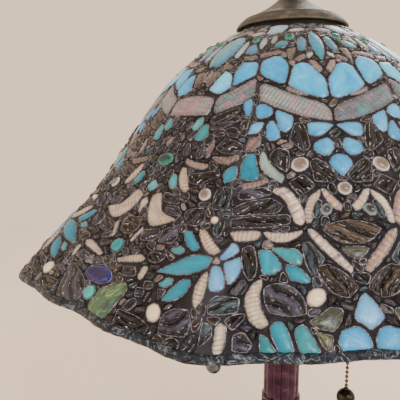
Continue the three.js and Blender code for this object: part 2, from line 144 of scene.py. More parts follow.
# ---- Mosaic design ----
# Each feature piece: (glass, outline of (degrees from the corner, millimetres down)).
FEATURES = [
    # band under the cap
    ("pale", [(-6, 10), (0, 8.5), (7.5, 9.5), (8, 14), (4, 23.5), (-1, 26.5), (-5, 26), (-4.6, 18)]),
    ("lilac", [(-16, 23.5), (-12, 20.5), (-8, 20.5), (-6.4, 24), (-9, 27), (-14, 27.5)]),
    ("lilac", [(8.6, 20.5), (12, 17.5), (18, 17.5), (19, 20), (15, 23), (9.3, 23)]),
    ("pink", [(-22, 13.5), (-18, 17.5), (-15, 22.5), (-17.5, 24), (-22, 19)]),
    ("slate", [(9.3, 8), (15, 6.5), (21.5, 8), (21, 12), (15, 13.5), (9.8, 13)]),
    ("slate", [(-21.5, 4.5), (-15, 4), (-8, 5.5), (-9, 9.5), (-15, 10.5), (-21.5, 10)]),
    ("taupe", [(-14.6, 13.5), (-8.5, 12), (-7.6, 17), (-11, 17.5), (-14, 18.5)]),
    ("pale", [(-14.3, 42), (-13, 36), (-11.8, 41), (-11.6, 52), (-13, 60), (-14.8, 57)]),
    ("blue_dim", [(-10, 45), (-7.5, 42), (-5.6, 48), (-4.6, 55), (-7, 56), (-10, 54)]),
    ("mint", [(-5.2, 37), (-3.7, 33), (-2.1, 37), (-2.2, 45), (-3.5, 50), (-4.7, 45)]),
    ("mint", [(0.5, 32), (2.6, 31), (2.9, 36), (1.6, 44), (0.4, 41)]),
    ("teal_dim", [(3.4, 43), (5.6, 39.5), (8.6, 40), (8.9, 45), (7, 49), (2.9, 49)]),
    ("blue_dim", [(13.4, 47), (13.9, 38), (15.6, 33.5), (17.4, 37), (17.3, 47), (16.2, 53.5),
                  (14.1, 53.5)]),
    ("taupe", [(9.2, 51.5), (12.2, 50), (11.6, 59), (10.5, 65.5), (9.6, 59.5)]),
    ("pink", [(-2, 57), (3, 54.5), (7.5, 55), (5.2, 57.2), (1.8, 58), (-1.6, 61.5)]),
    ("pink", [(12.1, 64), (15.8, 59), (16.4, 62.5), (13, 66.5)]),
    ("mint", [(17, 58.5), (19.4, 56), (19.2, 60), (17.2, 62.5)]),
    ("pink", [(17.6, 65.5), (19.2, 66), (21.6, 74.5), (21, 78), (18.6, 71.5)]),
    ("taupe", [(-9.6, 59), (-4, 58.5), (-3.2, 62), (-8, 62.5)]),
    ("pink", [(-16.3, 65), (-12.6, 68.5), (-14, 71), (-17, 69)]),
    ("taupe", [(-19.4, 73), (-16.6, 74), (-18.2, 83), (-19.6, 88), (-21.2, 82)]),
    ("pink", [(-21.6, 71), (-20.3, 74), (-21.4, 80), (-22.1, 84)]),
    # large panes over the swag
    ("sky", [(-17.8, 90.5), (-15.8, 79), (-14.4, 74.3), (-12.2, 75.5), (-10.4, 80), (-9.8, 89.3),
             (-12.4, 94),
             (-14.5, 93.7)]),
    ("sky", [(-9.9, 76), (-7.9, 65.6), (-2.6, 66.3), (-1.5, 71), (-2, 79.4), (-8.7, 88)]),
    ("sky", [(-0.3, 66), (2.6, 61.3), (6, 60.3), (9.8, 69.5), (8.9, 86.2), (7.4, 87), (0.9, 79.5),
             (-0.2, 74.5)]),
    ("sky", [(11.9, 71), (14.4, 68.2), (16.9, 69.3), (20.4, 80), (21.9, 84), (21.9, 97.5), (20.7, 99.4),
             (14, 94.6), (10.2, 88.4)]),
    # swag ribbon
    ("ribbon", [(-12.4, 97.6), (-7, 91.2), (-1.6, 83.2), (-0.9, 84), (-0.8, 96.5), (-2.8, 100.8),
                (-7.5, 106.8),
                (-11.8, 110.6), (-12.7, 105)]),
    ("ribbon", [(1.3, 89), (2.2, 87.7), (7, 92.6), (14, 99.6), (20, 104.6), (21.8, 109), (22, 116.7),
                (15, 113.8), (8.5, 107.8), (1.8, 100.6)]),
    ("pink", [(9.4, 90.6), (13, 93.8), (16.8, 97.3), (13.6, 96.6), (9.8, 93)]),
    # petals and dark pieces under the swag
    ("blue", [(-3, 102.6), (-1, 99.8), (-0.4, 104), (-0.5, 113), (-1.5, 112.6), (-2.6, 107)]),
    ("blue", [(1, 106), (2.3, 104), (5.2, 106.8), (5.9, 110), (4.8, 114.3), (1.9, 115.3)]),
    ("blue", [(0.7, 119.6), (3.7, 118.3), (3.7, 121), (2.3, 126.3), (0.2, 127.6)]),
    ("blue", [(6.8, 109.3), (7.9, 110), (11.3, 114), (11.4, 121), (10, 125.5), (8.5, 124.4), (7.5, 118)]),
    ("blue", [(4.8, 122), (5.6, 117), (6.6, 118.3), (8.3, 126.5), (8.2, 130), (6.4, 131.8), (5.2, 129.8)]),
    ("blue", [(15.3, 119.6), (18.5, 118.3), (22, 120.4), (18.9, 127.6), (17, 128.4), (15.8, 127)]),
    ("blue", [(16.6, 138), (17, 133.5), (20, 129.8), (21.1, 132), (21.2, 138), (19.8, 142), (17.6, 140.4)]),
    ("teal_pale", [(-17.9, 122.6), (-17, 116), (-15.3, 114), (-14.7, 117.5), (-15.5, 123.5),
                   (-16.6, 124.8)]),
    ("teal_pale", [(-15.1, 127.6), (-14, 120.6), (-12.7, 119.6), (-11.6, 126.3), (-12.3, 131.3),
                   (-13.6, 133),
                   (-15, 131.6)]),
    ("black", [(12.3, 119), (13.9, 119.6), (14.8, 125), (15.5, 136.5), (14.4, 138.6), (10.8, 131.6)]),
    ("black", [(6.7, 141), (8, 137.6), (10.4, 139.6), (10.8, 147), (10.4, 153.6), (8.8, 150.4),
               (6.4, 146)]),
    ("black", [(15.6, 147.4), (16.4, 144.6), (18.5, 147), (21.3, 156), (20.3, 160), (16.3, 159),
               (16.1, 152.5)]),
    ("black", [(11, 160.6), (13.8, 155.5), (16.2, 162.6), (13.2, 169)]),
    ("black", [(-7.5, 137.6), (-5.5, 131), (-2.5, 133.3), (-0.6, 136), (-0.7, 140), (-4, 141.6),
               (-6.7, 139.8)]),
    ("black", [(-12.2, 114.6), (-8, 110.6), (-4.4, 106), (-3.8, 109), (-7.5, 114), (-11.7, 119)]),
    ("black", [(-12.6, 158.5), (-8, 156.6), (-4.9, 153.4), (-4.5, 158), (-8, 161.4), (-8.6, 164.6),
               (-11.6, 163.4)]),
    ("purple", [(-11.5, 121.6), (-7, 117.6), (-4, 112), (-3.3, 116), (-6.5, 121), (-10.8, 124)]),
    ("purple", [(-12.6, 138), (-11.6, 135.6), (-10.5, 139), (-10.8, 145), (-12.4, 145.6)]),
    ("purple", [(-6.4, 124), (-4.4, 122.2), (-2.4, 125.4), (-2.6, 129.6), (-5, 128.4)]),
    ("slate", [(-2.3, 118.6), (-0.7, 117), (-0.6, 122.6), (-2, 123)]),
    ("pink", [(0.6, 131), (3.7, 129.3), (3.5, 134), (2.2, 139.4), (0.6, 140)]),
    ("pink", [(-7.9, 144.6), (-4, 145.6), (-1, 142.6), (-0.7, 145), (-3.5, 149.3), (-6.5, 147.6)]),
    ("pink", [(-15, 146.8), (-12.8, 149.2), (-8, 150.8), (-9, 153.6), (-12, 152.8), (-14.8, 150)]),
    ("pink", [(-9.9, 137), (-8.7, 132), (-8.7, 141), (-9.3, 145.4), (-9.8, 143)]),
    ("cream", [(-15.2, 153.4), (-14.1, 153.8), (-12.5, 162), (-11.1, 169), (-11.9, 170.6), (-13.6, 168),
               (-15, 160.6)]),
    ("mint", [(4.1, 143.4), (4.5, 139.6), (5.3, 142), (6, 147.4), (8, 153), (9.8, 157.6), (9.4, 161.2),
              (7, 157),
              (4.6, 151.6)]),
    ("teal", [(0.4, 146), (1.2, 142.6), (2.7, 141.6), (3.2, 147), (4.4, 157), (4, 159.6), (0.6, 159),
              (0.3, 153)]),
    ("teal", [(-3.4, 155), (-2.3, 151.6), (-0.9, 150.6), (-0.6, 158.4), (-2.6, 162.4), (-3.3, 159)]),
    ("pink", [(1, 163.4), (4.5, 160.6), (6.2, 158.6), (6.6, 160.6), (4, 163.8), (1.5, 165.2)]),
    # heart of cream strips round a brown piece
    ("candy", [(7.6, 167), (8.3, 164.8), (10.2, 164.6), (12, 169.4), (13.5, 178), (14, 184), (13.5, 188),
               (12.4, 187.4), (11.2, 178.6), (10.3, 171.6), (8.8, 168.6)]),
    ("cream", [(14.2, 178), (14.8, 171), (15.8, 168.4), (17.2, 165.4), (17, 169.6), (15.9, 174.6),
               (15.2, 180),
               (15.1, 186.4), (14.4, 187), (14.1, 183)]),
    ("candy", [(17.5, 164.6), (18.4, 165.6), (19.6, 170.4), (21.4, 176), (21.2, 179), (20.2, 178),
               (18.8, 173.4),
               (17.8, 168)]),
    ("candy", [(14.3, 190.6), (15.5, 191.6), (17.5, 199.4), (19.5, 207), (21.5, 216.4), (21.2, 218.6),
               (19.2, 212.4), (17, 204), (15.1, 195.8)]),
    ("cream", [(1, 194), (2.2, 192.8), (5.9, 192.6), (6.1, 196), (5, 198), (2.4, 198.4)]),
    ("cream", [(6.5, 193.2), (10, 194.4), (13.6, 191.8), (12.5, 196), (10, 199.4), (8, 198.4)]),
    ("cream", [(-20.6, 176), (-19.3, 174), (-18.2, 173.4), (-17, 181), (-15.5, 186.6), (-11.2, 190.2),
               (-13.5, 193.6), (-16, 196.8), (-17.8, 195), (-19.5, 188.4), (-20.3, 183)]),
    ("cream", [(-20.2, 224.4), (-17, 219), (-14.8, 216.6), (-13.4, 218.6), (-14, 220.6), (-17.5, 223),
               (-19.8, 225.6)]),
    ("cream", [(-18.4, 199), (-18, 200.6), (-19, 207), (-19.4, 211), (-19.9, 210), (-19.1, 204)]),
    ("cream", [(-12.9, 223.6), (-12.2, 222.6), (-11.9, 227), (-12.5, 231.4), (-13, 230)]),
    ("cream", [(-5, 194), (-3.7, 194), (-1.5, 200.4), (0.1, 205), (-0.8, 207.6), (-2.3, 205.4),
               (-4, 199.6)]),
    ("cream", [(-2, 226), (-1.3, 219), (-0.9, 217.6), (-0.5, 226), (-0.6, 233), (-1.2, 237.6),
               (-1.8, 234)]),
    ("cream", [(7.2, 221.6), (6.8, 230), (7.2, 237.4), (8.5, 245.4), (7.6, 247), (6.2, 243.6), (5.2, 234),
               (5.4, 228), (6.4, 222.6)]),
    ("cream", [(2.2, 245.6), (2.5, 243.8), (3.2, 245.4), (3.4, 256), (3, 258.6), (2.4, 257.6)]),
    # teal and blue leaves of the lower flower
    ("teal_pale", [(-17.6, 161.4), (-16.8, 158.6), (-15.9, 160), (-14.9, 167), (-16, 169.4),
                   (-17.4, 165.6)]),
    ("teal", [(-8.1, 196.6), (-6.5, 196.2), (-5.5, 200), (-3.7, 204.4), (-4.5, 207.4), (-6, 206),
              (-7.5, 200.6)]),
    ("teal_pale", [(-9.2, 209.6), (-7.5, 206.6), (-6.3, 208.6), (-7, 211), (-9, 210.6)]),
    ("teal", [(-10, 224.4), (-7.5, 218), (-4.8, 210.8), (-2.5, 208.8), (-0.8, 210), (-1.3, 215.4),
              (-3.5, 220),
              (-6, 223)]),
    ("teal_pale", [(-8.6, 231.4), (-7.6, 227), (-6.3, 226.2), (-6.5, 229.6), (-7.6, 232)]),
    ("teal", [(-7, 239), (-5.8, 230), (-4.3, 224.6), (-3.1, 223.8), (-3.2, 230), (-4.3, 235), (-5.8, 238)]),
    ("blue_pale", [(0.5, 209), (1.8, 200.4), (2.4, 200.8), (3.1, 204.4), (2, 208.2), (0.8, 210.2)]),
    ("blue_pale", [(1.3, 212.2), (3.3, 208.6), (3.9, 213), (3.6, 219.4), (2.7, 224.4), (2, 219)]),
    ("blue_pale", [(-0.3, 214.4), (0.4, 213.8), (1.7, 219), (2, 226.4), (0.4, 227.8), (-0.2, 224)]),
    ("teal", [(6.2, 204.6), (7.6, 204.4), (9.2, 209.4), (9.9, 215), (8.8, 218.4), (7.2, 218), (6.7, 211)]),
    ("teal_pale", [(8, 203.2), (12.2, 203.6), (13.2, 208), (12.9, 213), (11.2, 211.4), (9.3, 206.6)]),
    ("teal", [(10.5, 212.8), (12.5, 214.2), (14.4, 221.8), (14.2, 223.4), (11.4, 221.4)]),
    ("teal_pale", [(7.6, 250), (8.2, 251.4), (9.8, 259.6), (7.9, 259.6)]),
    ("teal", [(8.9, 245.6), (10, 243.8), (10.9, 247.4), (11.8, 258.4), (10.3, 259.2), (9, 250)]),
    ("teal_pale", [(12, 248), (12.9, 245.2), (13.6, 247), (15.2, 259.2), (12.9, 259.2), (12.3, 253)]),
    ("blue", [(17.7, 254), (18.3, 249.4), (20.2, 247.4), (21.2, 249), (22.1, 254), (22.1, 259.2),
              (18.2, 259)]),
    # dark ripple, brown and green pieces of the lower half
    ("purple", [(1, 167), (6.5, 164.4), (7.4, 168), (5, 170.6), (1.2, 172.4)]),
    ("black", [(0.5, 178.6), (3.2, 173.8), (7.5, 171.8), (9.7, 176.4), (8.8, 180), (4, 181.6),
               (0.6, 182.6)]),
    ("black", [(0.6, 185.6), (5, 183.4), (11, 182.2), (11.2, 187), (8, 189.2), (1, 190)]),
    ("black", [(3.7, 203), (5, 201.6), (5.8, 208), (6.1, 218), (5.5, 222), (4.5, 217), (3.9, 210)]),
    ("slate", [(-4.1, 170), (-3.3, 165.6), (-1, 165.2), (-0.7, 170), (-0.9, 178.4), (-3.5, 179.6),
               (-4, 176)]),
    ("slate", [(-2.2, 190), (-1.3, 185.2), (-0.6, 187), (-0.6, 193), (-1, 196.6), (-2, 194)]),
    ("purple", [(-9.6, 184), (-8, 181.2), (-5.5, 180.8), (-4.8, 187), (-6, 191.6), (-9, 191.6)]),
    ("purple", [(-17.6, 201), (-13.6, 198.2), (-13.4, 203.6), (-14.6, 206.4), (-17.4, 207)]),
    ("purple", [(-12.8, 197.6), (-10, 194.8), (-9.2, 201), (-9.9, 205.4), (-12.6, 206)]),
    ("black", [(-17.2, 172.8), (-14.6, 173.2), (-12.4, 176.6), (-12.3, 178.8), (-14.5, 178.8),
               (-16.8, 177.4)]),
    ("purple", [(-14.9, 181.8), (-12, 181.4), (-10.4, 186), (-12.4, 187.4), (-14.6, 184.6)]),
    ("black", [(-13.2, 215), (-11.5, 212.8), (-9.6, 214.2), (-10.7, 218.8), (-12.4, 218.8)]),
    ("purple", [(-17.4, 227.2), (-14.5, 225.2), (-13.8, 229.4), (-16.4, 231.4)]),
    ("brown", [(-10.4, 209.6), (-9.6, 212), (-7.9, 213.6), (-8.3, 216.2), (-9.3, 213.8)]),
    ("green", [(-20.7, 249), (-19.8, 243.6), (-17.5, 239.2), (-14.9, 235.4), (-14, 238.6), (-14.7, 245.4),
               (-15.6, 256), (-16.3, 259), (-20.4, 259), (-20.9, 255)]),
    ("black", [(-13.8, 250.4), (-10, 251.4), (-7.7, 254), (-7.9, 259), (-13.6, 259)]),
    ("purple", [(-5.9, 247), (-4.5, 241), (-2, 239.6), (-1.3, 245), (-1.5, 251.6), (-5.6, 254.6)]),
    ("slate", [(-12.3, 236.2), (-10.9, 236.2), (-10.8, 240), (-12, 240.4)]),
    ("brown", [(-11.2, 231.6), (-9.8, 231.2), (-9.6, 234), (-11, 235.4)]),
    ("slate", [(15.6, 176.4), (16.6, 171.8), (17.2, 172.8), (16.6, 183), (15.8, 183.4)]),
    ("purple", [(7.7, 226.4), (9.2, 223.8), (11.8, 226), (13.4, 233.4), (13.5, 239.4), (11.5, 240.8),
                (8.7, 239),
                (7.9, 233.6)]),
    ("brown", [(15.4, 214.4), (17.4, 213.2), (19.9, 219), (21.6, 227.4), (20, 232.2), (17.6, 229.4),
               (16.3, 221.6)]),
    ("slate", [(13.5, 199.4), (14.5, 199.4), (16.8, 209.6), (16.1, 212), (14.9, 219), (14.1, 214),
               (13.6, 207)]),
    ("slate", [(0.6, 233.4), (1.4, 230.4), (4.3, 231.6), (4.3, 238.4), (0.8, 239.4)]),
    ("slate", [(0.5, 244), (1.4, 245), (1.7, 250), (0.6, 255.6)]),
    ("purple", [(4.4, 250), (5.4, 248.8), (6.6, 255), (6.2, 257.8), (4.6, 257)]),
    ("olive", [(14, 243.4), (15.2, 241.6), (17, 237), (18.7, 238.6), (18.5, 243), (17.2, 248.2),
               (15.3, 247.2)]),
    ("olive", [(14.9, 249), (16.9, 251.4), (16.5, 258.4), (15.7, 256)]),
]

# Halves, from the middle of the panel round and back to it.
MIDDLE_LOW = [
    ("leaf_pale", [(-22.5, 27), (-18.2, 29.5), (-15.8, 38), (-16.1, 50), (-18, 61), (-20.5, 67.5),
                   (-22.5, 66)]),
    ("ribbon_rose", [(-22.5, 95.6), (-16.5, 97.2), (-14.3, 99.2), (-14, 105), (-14.2, 111.8),
                     (-22.5, 111.4)]),
    ("teal_pale", [(-22.5, 164.4), (-21.3, 167), (-21, 170.6), (-22.5, 173)]),
    ("cream", [(-22.5, 178), (-21.4, 181), (-22.5, 190)]),
    ("brown", [(-22.5, 194.4), (-20.9, 192.6), (-19.9, 198.6), (-20.6, 204.4), (-22.5, 206.6)]),
]
MIDDLE_HIGH = [
    ("leaf_teal", [(22.5, 24), (20.8, 30), (19.6, 42), (20.3, 54), (22.5, 66)]),
    ("blue", [(22.5, 141.4), (20.9, 142.8), (19.9, 147.6), (21.1, 152.4), (22.5, 156)]),
    ("brown", [(22.5, 185.6), (19.2, 187.2), (17.2, 190.6), (18.9, 196.6), (20.5, 199.4), (22.5, 200)]),
    ("olive", [(22.5, 202.6), (20.1, 203.2), (21.3, 208), (22.5, 210)]),
    ("blue_pale", [(22.5, 230.4), (21.4, 235), (20.4, 243.2), (22.5, 249.2)]),
]

# Jewels: (glass, degrees, millimetres down, half width, half height)
JEWELS = [
    ("jewel_green", 9.6, 33, 3.3, 4.6), ("jewel_green", -9, 35.5, 2.7, 3.8),
    ("jewel_clear", 13.2, 148.4, 5, 5), ("jewel_clear", -6.6, 171, 4.2, 4.2),
    ("jewel_cream", -2.6, 186.6, 2.5, 2.5), ("jewel_cream", -7.6, 246.4, 4.9, 4.9),
    ("jewel_cream", 15.1, 231.2, 5, 5), ("jewel_smoke", 18.2, 178.4, 3.4, 3.6),
]
MIDDLE_JEWELS = [
    ("jewel_green", -EDGE, 148, 7.4, 4.8), ("jewel_teal", -EDGE, 216, 5.9, 5.2),
    ("jewel_blue", -EDGE, 237, 13, 5.8), ("jewel_turquoise", -EDGE, 249.6, 5.4, 4.8),
    ("jewel_clear", EDGE, 164.6, 4.2, 4.2),
]

# ---- Outlines, in millimetres on a flat map: x round from a centre line, y up ----
def flat(outline):
    """A designed outline on the flat map of its own half panel."""
    return np.array([(math.radians(u) * radius_at(s), -s) for u, s in outline])


def whole(outline, middle):
    """A half outline completed across the middle line of its panel, measured from that line."""
    half = [(abs(u - middle), s) for u, s in outline]
    return flat(half + [(-u, s) for u, s in reversed(half) if u > 0.01])


def ellipse(centre, s, half_width, half_height, points=18):
    turn = np.arange(points) * TAU / points
    x = math.radians(centre) * radius_at(s)
    return np.stack([x + half_width * np.cos(turn), -s + half_height * np.sin(turn)], -1)


def signed_area(points):
    """Area of an outline, positive where it runs counter-clockwise."""
    x, y = points.T
    return np.sum(x * np.roll(y, -1) - np.roll(x, -1) * y) / 2


def counter_clockwise(points):
    return points if signed_area(points) > 0 else points[::-1]


def rounded(points, radius=0.7):
    """Ground corners: sharp ones take a small radius, the gentle ones of a curved side melt into a curve."""
    before, after = np.roll(points, 1, 0) - points, np.roll(points, -1, 0) - points
    back, ahead = np.hypot(*before.T), np.hypot(*after.T)
    turn = np.pi - np.arccos(np.clip((before * after).sum(1) / (back * ahead), -1, 1))
    share = np.where(turn < math.radians(42), 0.4, 0.3)
    limit = np.where(turn < math.radians(42), 4.0, radius)
    first = points + before / back[:, None] * np.minimum(limit, share * back)[:, None]
    last = points + after / ahead[:, None] * np.minimum(limit, share * ahead)[:, None]
    middle = (first + 2 * points + last) / 4
    return np.stack([first, middle, last], 1).reshape(-1, 2)


def even(points, spacing):
    """The same outline with evenly spaced points."""
    ring = np.vstack([points, points[:1]])
    along = np.concatenate([[0], np.cumsum(np.hypot(*np.diff(ring, axis=0).T))])
    count = max(10, round(along[-1] / spacing))
    at = np.arange(count) * along[-1] / count
    return np.stack([np.interp(at, along, ring[:, 0]), np.interp(at, along, ring[:, 1])], -1)


def outward(points):
    """Unit normals of a counter-clockwise outline."""
    step = np.roll(points, -1, 0) - np.roll(points, 1, 0)
    step /= np.maximum(np.hypot(*step.T), 1e-9)[:, None]
    return np.stack([step[:, 1], -step[:, 0]], -1)


def distance(points, outline):
    """Distance from each point to the nearest side of an outline."""
    side = np.roll(outline, -1, 0) - outline
    reach = points[:, None] - outline[None]
    t = np.clip((reach * side).sum(-1) / np.maximum((side * side).sum(-1), 1e-12), 0, 1)
    return np.hypot(*(reach - t[..., None] * side).transpose(2, 0, 1)).min(1)


def inside(points, outline):
    a = outline
    b = np.roll(outline, -1, 0)
    x, y = points[:, 0, None], points[:, 1, None]
    crosses = (a[:, 1] > y) != (b[:, 1] > y)
    rise = np.where(b[:, 1] == a[:, 1], 1e-12, b[:, 1] - a[:, 1])
    return ((crosses & (x < a[:, 0] + (y - a[:, 1]) * (b[:, 0] - a[:, 0]) / rise)).sum(1) % 2) == 1


def shrunk(points, amount):
    """The outline moved in, less where the piece is too narrow for it."""
    normals = outward(points)
    step = np.full(len(points), float(amount))
    for _ in range(4):
        moved = points - normals * step[:, None]
        tight = distance(moved, points) < 0.75 * step
        step[tight] *= 0.5
    return points - normals * step[:, None]


# ---- Glass pieces ----
# A glass piece stands on the reference surface: its back shows inside the shade, its front stands proud.
BACK_H = -1.85
SHOULDER_H = 0.45
ARRIS, ARRIS_H = 0.5, SHOULDER_H + 0.35   # the ground edge of the front: how far in, how high
GROW = 0.4                          # designed outlines are drawn this much inside the lead lines


class Glass:
    """How a kind of glass is cut: spacing of its surface points, crown height, and relief of its ripples."""

    def __init__(self, spacing=2.4, crown=0.45, relief=0.0, wave=4.0, jewel=False):
        self.spacing = spacing
        self.crown = crown
        self.relief = relief
        self.wave = wave
        self.jewel = jewel


SMOOTH = Glass()
RIPPLE = Glass(spacing=1.3, crown=0.3, relief=0.55, wave=6.0)
FOLDED = Glass(spacing=1.3, crown=0.3, relief=0.8, wave=7.6)
RIBBED = Glass(spacing=2.0, crown=0.5)
JEWEL = Glass(spacing=1.3, crown=1.6, jewel=True)
KINDS = {name: kind for kind, names in (
    (SMOOTH, "sky blue blue_pale blue_dim teal teal_pale teal_dim "
             "leaf_pale leaf_teal pale mint lilac pink taupe"),
    (RIPPLE, "slate"),
    (RIBBED, "ribbon ribbon_rose cream candy"),
    (FOLDED, "black purple brown"),
    (SMOOTH, "green olive"),
    (RIPPLE, "dark smoke"),
    (JEWEL, "jewel_green jewel_clear jewel_cream jewel_smoke jewel_teal jewel_blue jewel_turquoise"),
) for name in names.split()}
GLASS_NAMES = list(KINDS)


def triangulated(outline, interior):
    """Triangles over an outline and the points inside it."""
    points = [Vector(p) for p in np.vstack([outline, interior])]
    found = delaunay_2d_cdt(points, [], [list(range(len(outline)))], 1, 1e-5)
    if len(found[0]) != len(points):
        return None
    order = [sources[0] for sources in found[3]]
    return np.array([[order[i] for i in face] for face in found[2]])


def grid_inside(outline, spacing, margin):
    """Staggered points inside an outline, no nearer to it than the margin."""
    low, high = outline.min(0), outline.max(0)
    rows = np.arange(low[1] + spacing / 2, high[1], spacing * 0.87)
    points = [(x + (spacing / 2 if i % 2 else 0), y)
              for i, y in enumerate(rows) for x in np.arange(low[0] + spacing / 2, high[0], spacing)]
    if not points:
        return np.zeros((0, 2))
    points = np.array(points)
    points = points[inside(points, outline)]
    return points[distance(points, outline) > margin] if len(points) else points


def main_axis(outline):
    centred = outline - outline.mean(0)
    values, vectors = np.linalg.eigh(centred.T @ centred)
    return math.atan2(vectors[1, 1], vectors[0, 1])


def ripples(x, y, wave, seed):
    """Folded ridges of ripple glass, between -1 and 1. The ripple material repeats this formula."""
    bend = 1.5 * np.sin(1.3 * x / wave + seed) + 1.1 * np.sin(0.9 * y / wave + 2.3 * seed)
    return np.sin(TAU * y / wave + bend + 0.8 * np.sin(2.1 * x / wave + 5.1 * seed))


class Piece:
    """One piece of glass on the flat map, as a closed solid: points (x, y, h), triangles and its grain."""

    def __init__(self, glass, outline, centre, copies, seed):
        kind = KINDS[glass]
        self.glass = GLASS_NAMES.index(glass)
        self.centre = centre
        self.copies = copies
        size = math.sqrt(abs(signed_area(outline)))
        outline = even(counter_clockwise(outline), min(2.0, max(0.9, size / 4.5)))
        self.outline = outline
        arris = shrunk(outline, ARRIS)
        spacing = min(kind.spacing, max(1.2, size / 2.6))
        interior = grid_inside(arris, spacing, spacing * 0.45)
        back_points = grid_inside(outline, 7, 3)
        front = triangulated(arris, interior)
        back = triangulated(outline, back_points)
        if front is None or back is None:
            arris = outline * 0.92 + outline.mean(0) * 0.08
            interior = interior[inside(interior, arris)]
            back_points = np.zeros((0, 2))
            front = triangulated(arris, interior)
            back = triangulated(outline, back_points)
        self.valid = front is not None and back is not None
        if not self.valid:
            return
        n = len(outline)
        deep = distance(interior, outline) if len(interior) else np.zeros(0)
        half_width = max(deep.max() if len(deep) else 1.0, 1.0)
        reach = half_width if kind.jewel else min(half_width, 3.2)
        swell = np.sqrt(np.clip(1 - (1 - np.clip(deep / reach, 0, 1)) ** 2, 0, 1))
        top = ARRIS_H + kind.crown * swell
        axis = main_axis(outline)
        turn = axis if kind is RIBBED else axis + (seed % 1 - 0.5) * 0.8
        points = np.vstack([outline, outline, arris, interior, back_points])
        spin = np.array([[math.cos(turn), -math.sin(turn)], [math.sin(turn), math.cos(turn)]])
        grain = (points - outline.mean(0)) @ spin
        inner = slice(3 * n, 3 * n + len(interior))
        if kind.relief:
            edge_fade = np.clip(deep / 1.6, 0, 1)
            gx, gy = grain[inner].T
            top = top + kind.relief * edge_fade * ripples(gx, gy, kind.wave, seed)
        height = np.concatenate([
            np.full(n, BACK_H), np.full(n, SHOULDER_H), np.full(n, ARRIS_H), top,
            np.full(len(back_points), BACK_H - 0.1),
        ])
        self.points = np.column_stack([points, height])
        ring = np.arange(n)
        after = np.roll(ring, -1)
        sides = halved(np.vstack([np.stack([ring, after, after + n, ring + n], -1) + k for k in (0, n)]))
        back = np.where(back >= n, back - n + 3 * n + len(interior), back)[:, ::-1]
        self.faces = np.vstack([sides, front + 2 * n, back])
        self.grain = np.column_stack([grain, np.full(len(points), seed)])
        self.edge = np.zeros(len(points))
        self.edge[inner] = np.clip(deep / 2.0, 0, 1)


def designed_pieces():
    """The feature pieces and jewels, each with its place and the number of copies round the shade."""
    draw = random.Random(11)
    made = []

    def put(glass, outline, centre, copies, round_off=True):
        shape = counter_clockwise(np.array(outline))
        if round_off:
            shape = rounded(shape + GROW * outward(shape))
        made.append(Piece(glass, shape, centre, copies, draw.uniform(0, 10)))

    for glass, outline in FEATURES:
        put(glass, flat(outline), 0, 8)
    for glass, outline in MIDDLE_LOW:
        put(glass, whole(outline, -EDGE), -EDGE, 4)
    for glass, outline in MIDDLE_HIGH:
        put(glass, whole(outline, EDGE), EDGE, 4)
    for glass, u, s, half_width, half_height in JEWELS:
        put(glass, ellipse(u, s, half_width, half_height), 0, 8, False)
    for glass, u, s, half_width, half_height in MIDDLE_JEWELS:
        put(glass, ellipse(0, s, half_width, half_height), u, 4, False)
    return made


def places(piece):
    """(turn in degrees, mirrored) of each copy of a piece."""
    quarters = range(4)
    if piece.copies == 4:
        return [(90 * q + piece.centre, False) for q in quarters]
    return [(90 * q, False) for q in quarters] + [(90 * q + 45, True) for q in quarters]


# ---- Dark pieces that fill the ground between the feature pieces ----
FILL_GAP = 0.6                      # half of the solder line between two pieces
FILL_TOP, FILL_BOTTOM = 5.0, 259.0
FILL_ROUNDS = ((16.5, 3000), (11.0, 3500), (6.4, 6000), (4.2, 9000))    # spacing of the seeds, tries
FILL_REACH = 17.0
FILL_GLASS = {"dark": 8, "smoke": 4, "purple": 4, "black": 5, "slate": 3, "brown": 1.5, "taupe": 0.8,
              "pink": 0.8}
SEED_CLEAR = 1.9                    # between a seed and the nearest feature piece
LEAST_AREA = 3.5
LENGTHEN = 1.5                      # the dark pieces are about this squared as long as they are wide
LEAN, SWAY = 0.4, 0.9
RELAX_ROUNDS, RELAX = 2, 0.6
QUARTER = math.radians(90)


def obstacles(designed):
    """Points round every feature piece in one quarter of the shade: [angle, millimetres down]."""
    rows = []
    for piece in designed:
        ring = even(piece.outline, 1.3)
        radius = radius_at(-ring[:, 1])
        for turn, mirrored in places(piece):
            angle = math.radians(turn) + ring[:, 0] / radius * (-1 if mirrored else 1)
            rows.append(np.stack([angle, -ring[:, 1]], -1))
    points = np.vstack(rows)
    start = math.radians(-EDGE)
    points[:, 0] = np.mod(points[:, 0] - start, TAU) + start
    return points[points[:, 0] < start + QUARTER]


def wrapped(angle):
    """An angle brought to within an eighth of a turn, for a pattern that repeats each quarter."""
    return np.mod(angle + QUARTER / 2, QUARTER) - QUARTER / 2


def covered(angle, s, designed):
    """Whether a place of the quarter lies under a feature piece."""
    for piece in designed:
        y = -s
        if not piece.outline[:, 1].min() - 1 < y < piece.outline[:, 1].max() + 1:
            continue
        for turn, mirrored in places(piece):
            x = wrapped(angle - math.radians(turn)) * radius_at(s) * (-1 if mirrored else 1)
            if piece.outline[:, 0].min() < x < piece.outline[:, 0].max():
                if inside(np.array([[x, y]]), piece.outline)[0]:
                    return True
    return False


def near(points, angle, s, reach):
    """The points of a quarter near a place, on the flat map centred on it."""
    rows = points[np.abs(points[:, 1] - s) < reach]
    x = wrapped(rows[:, 0] - angle) * radius_at(rows[:, 1])
    keep = np.abs(x) < reach
    return np.stack([x[keep], s - rows[keep, 1]], -1)


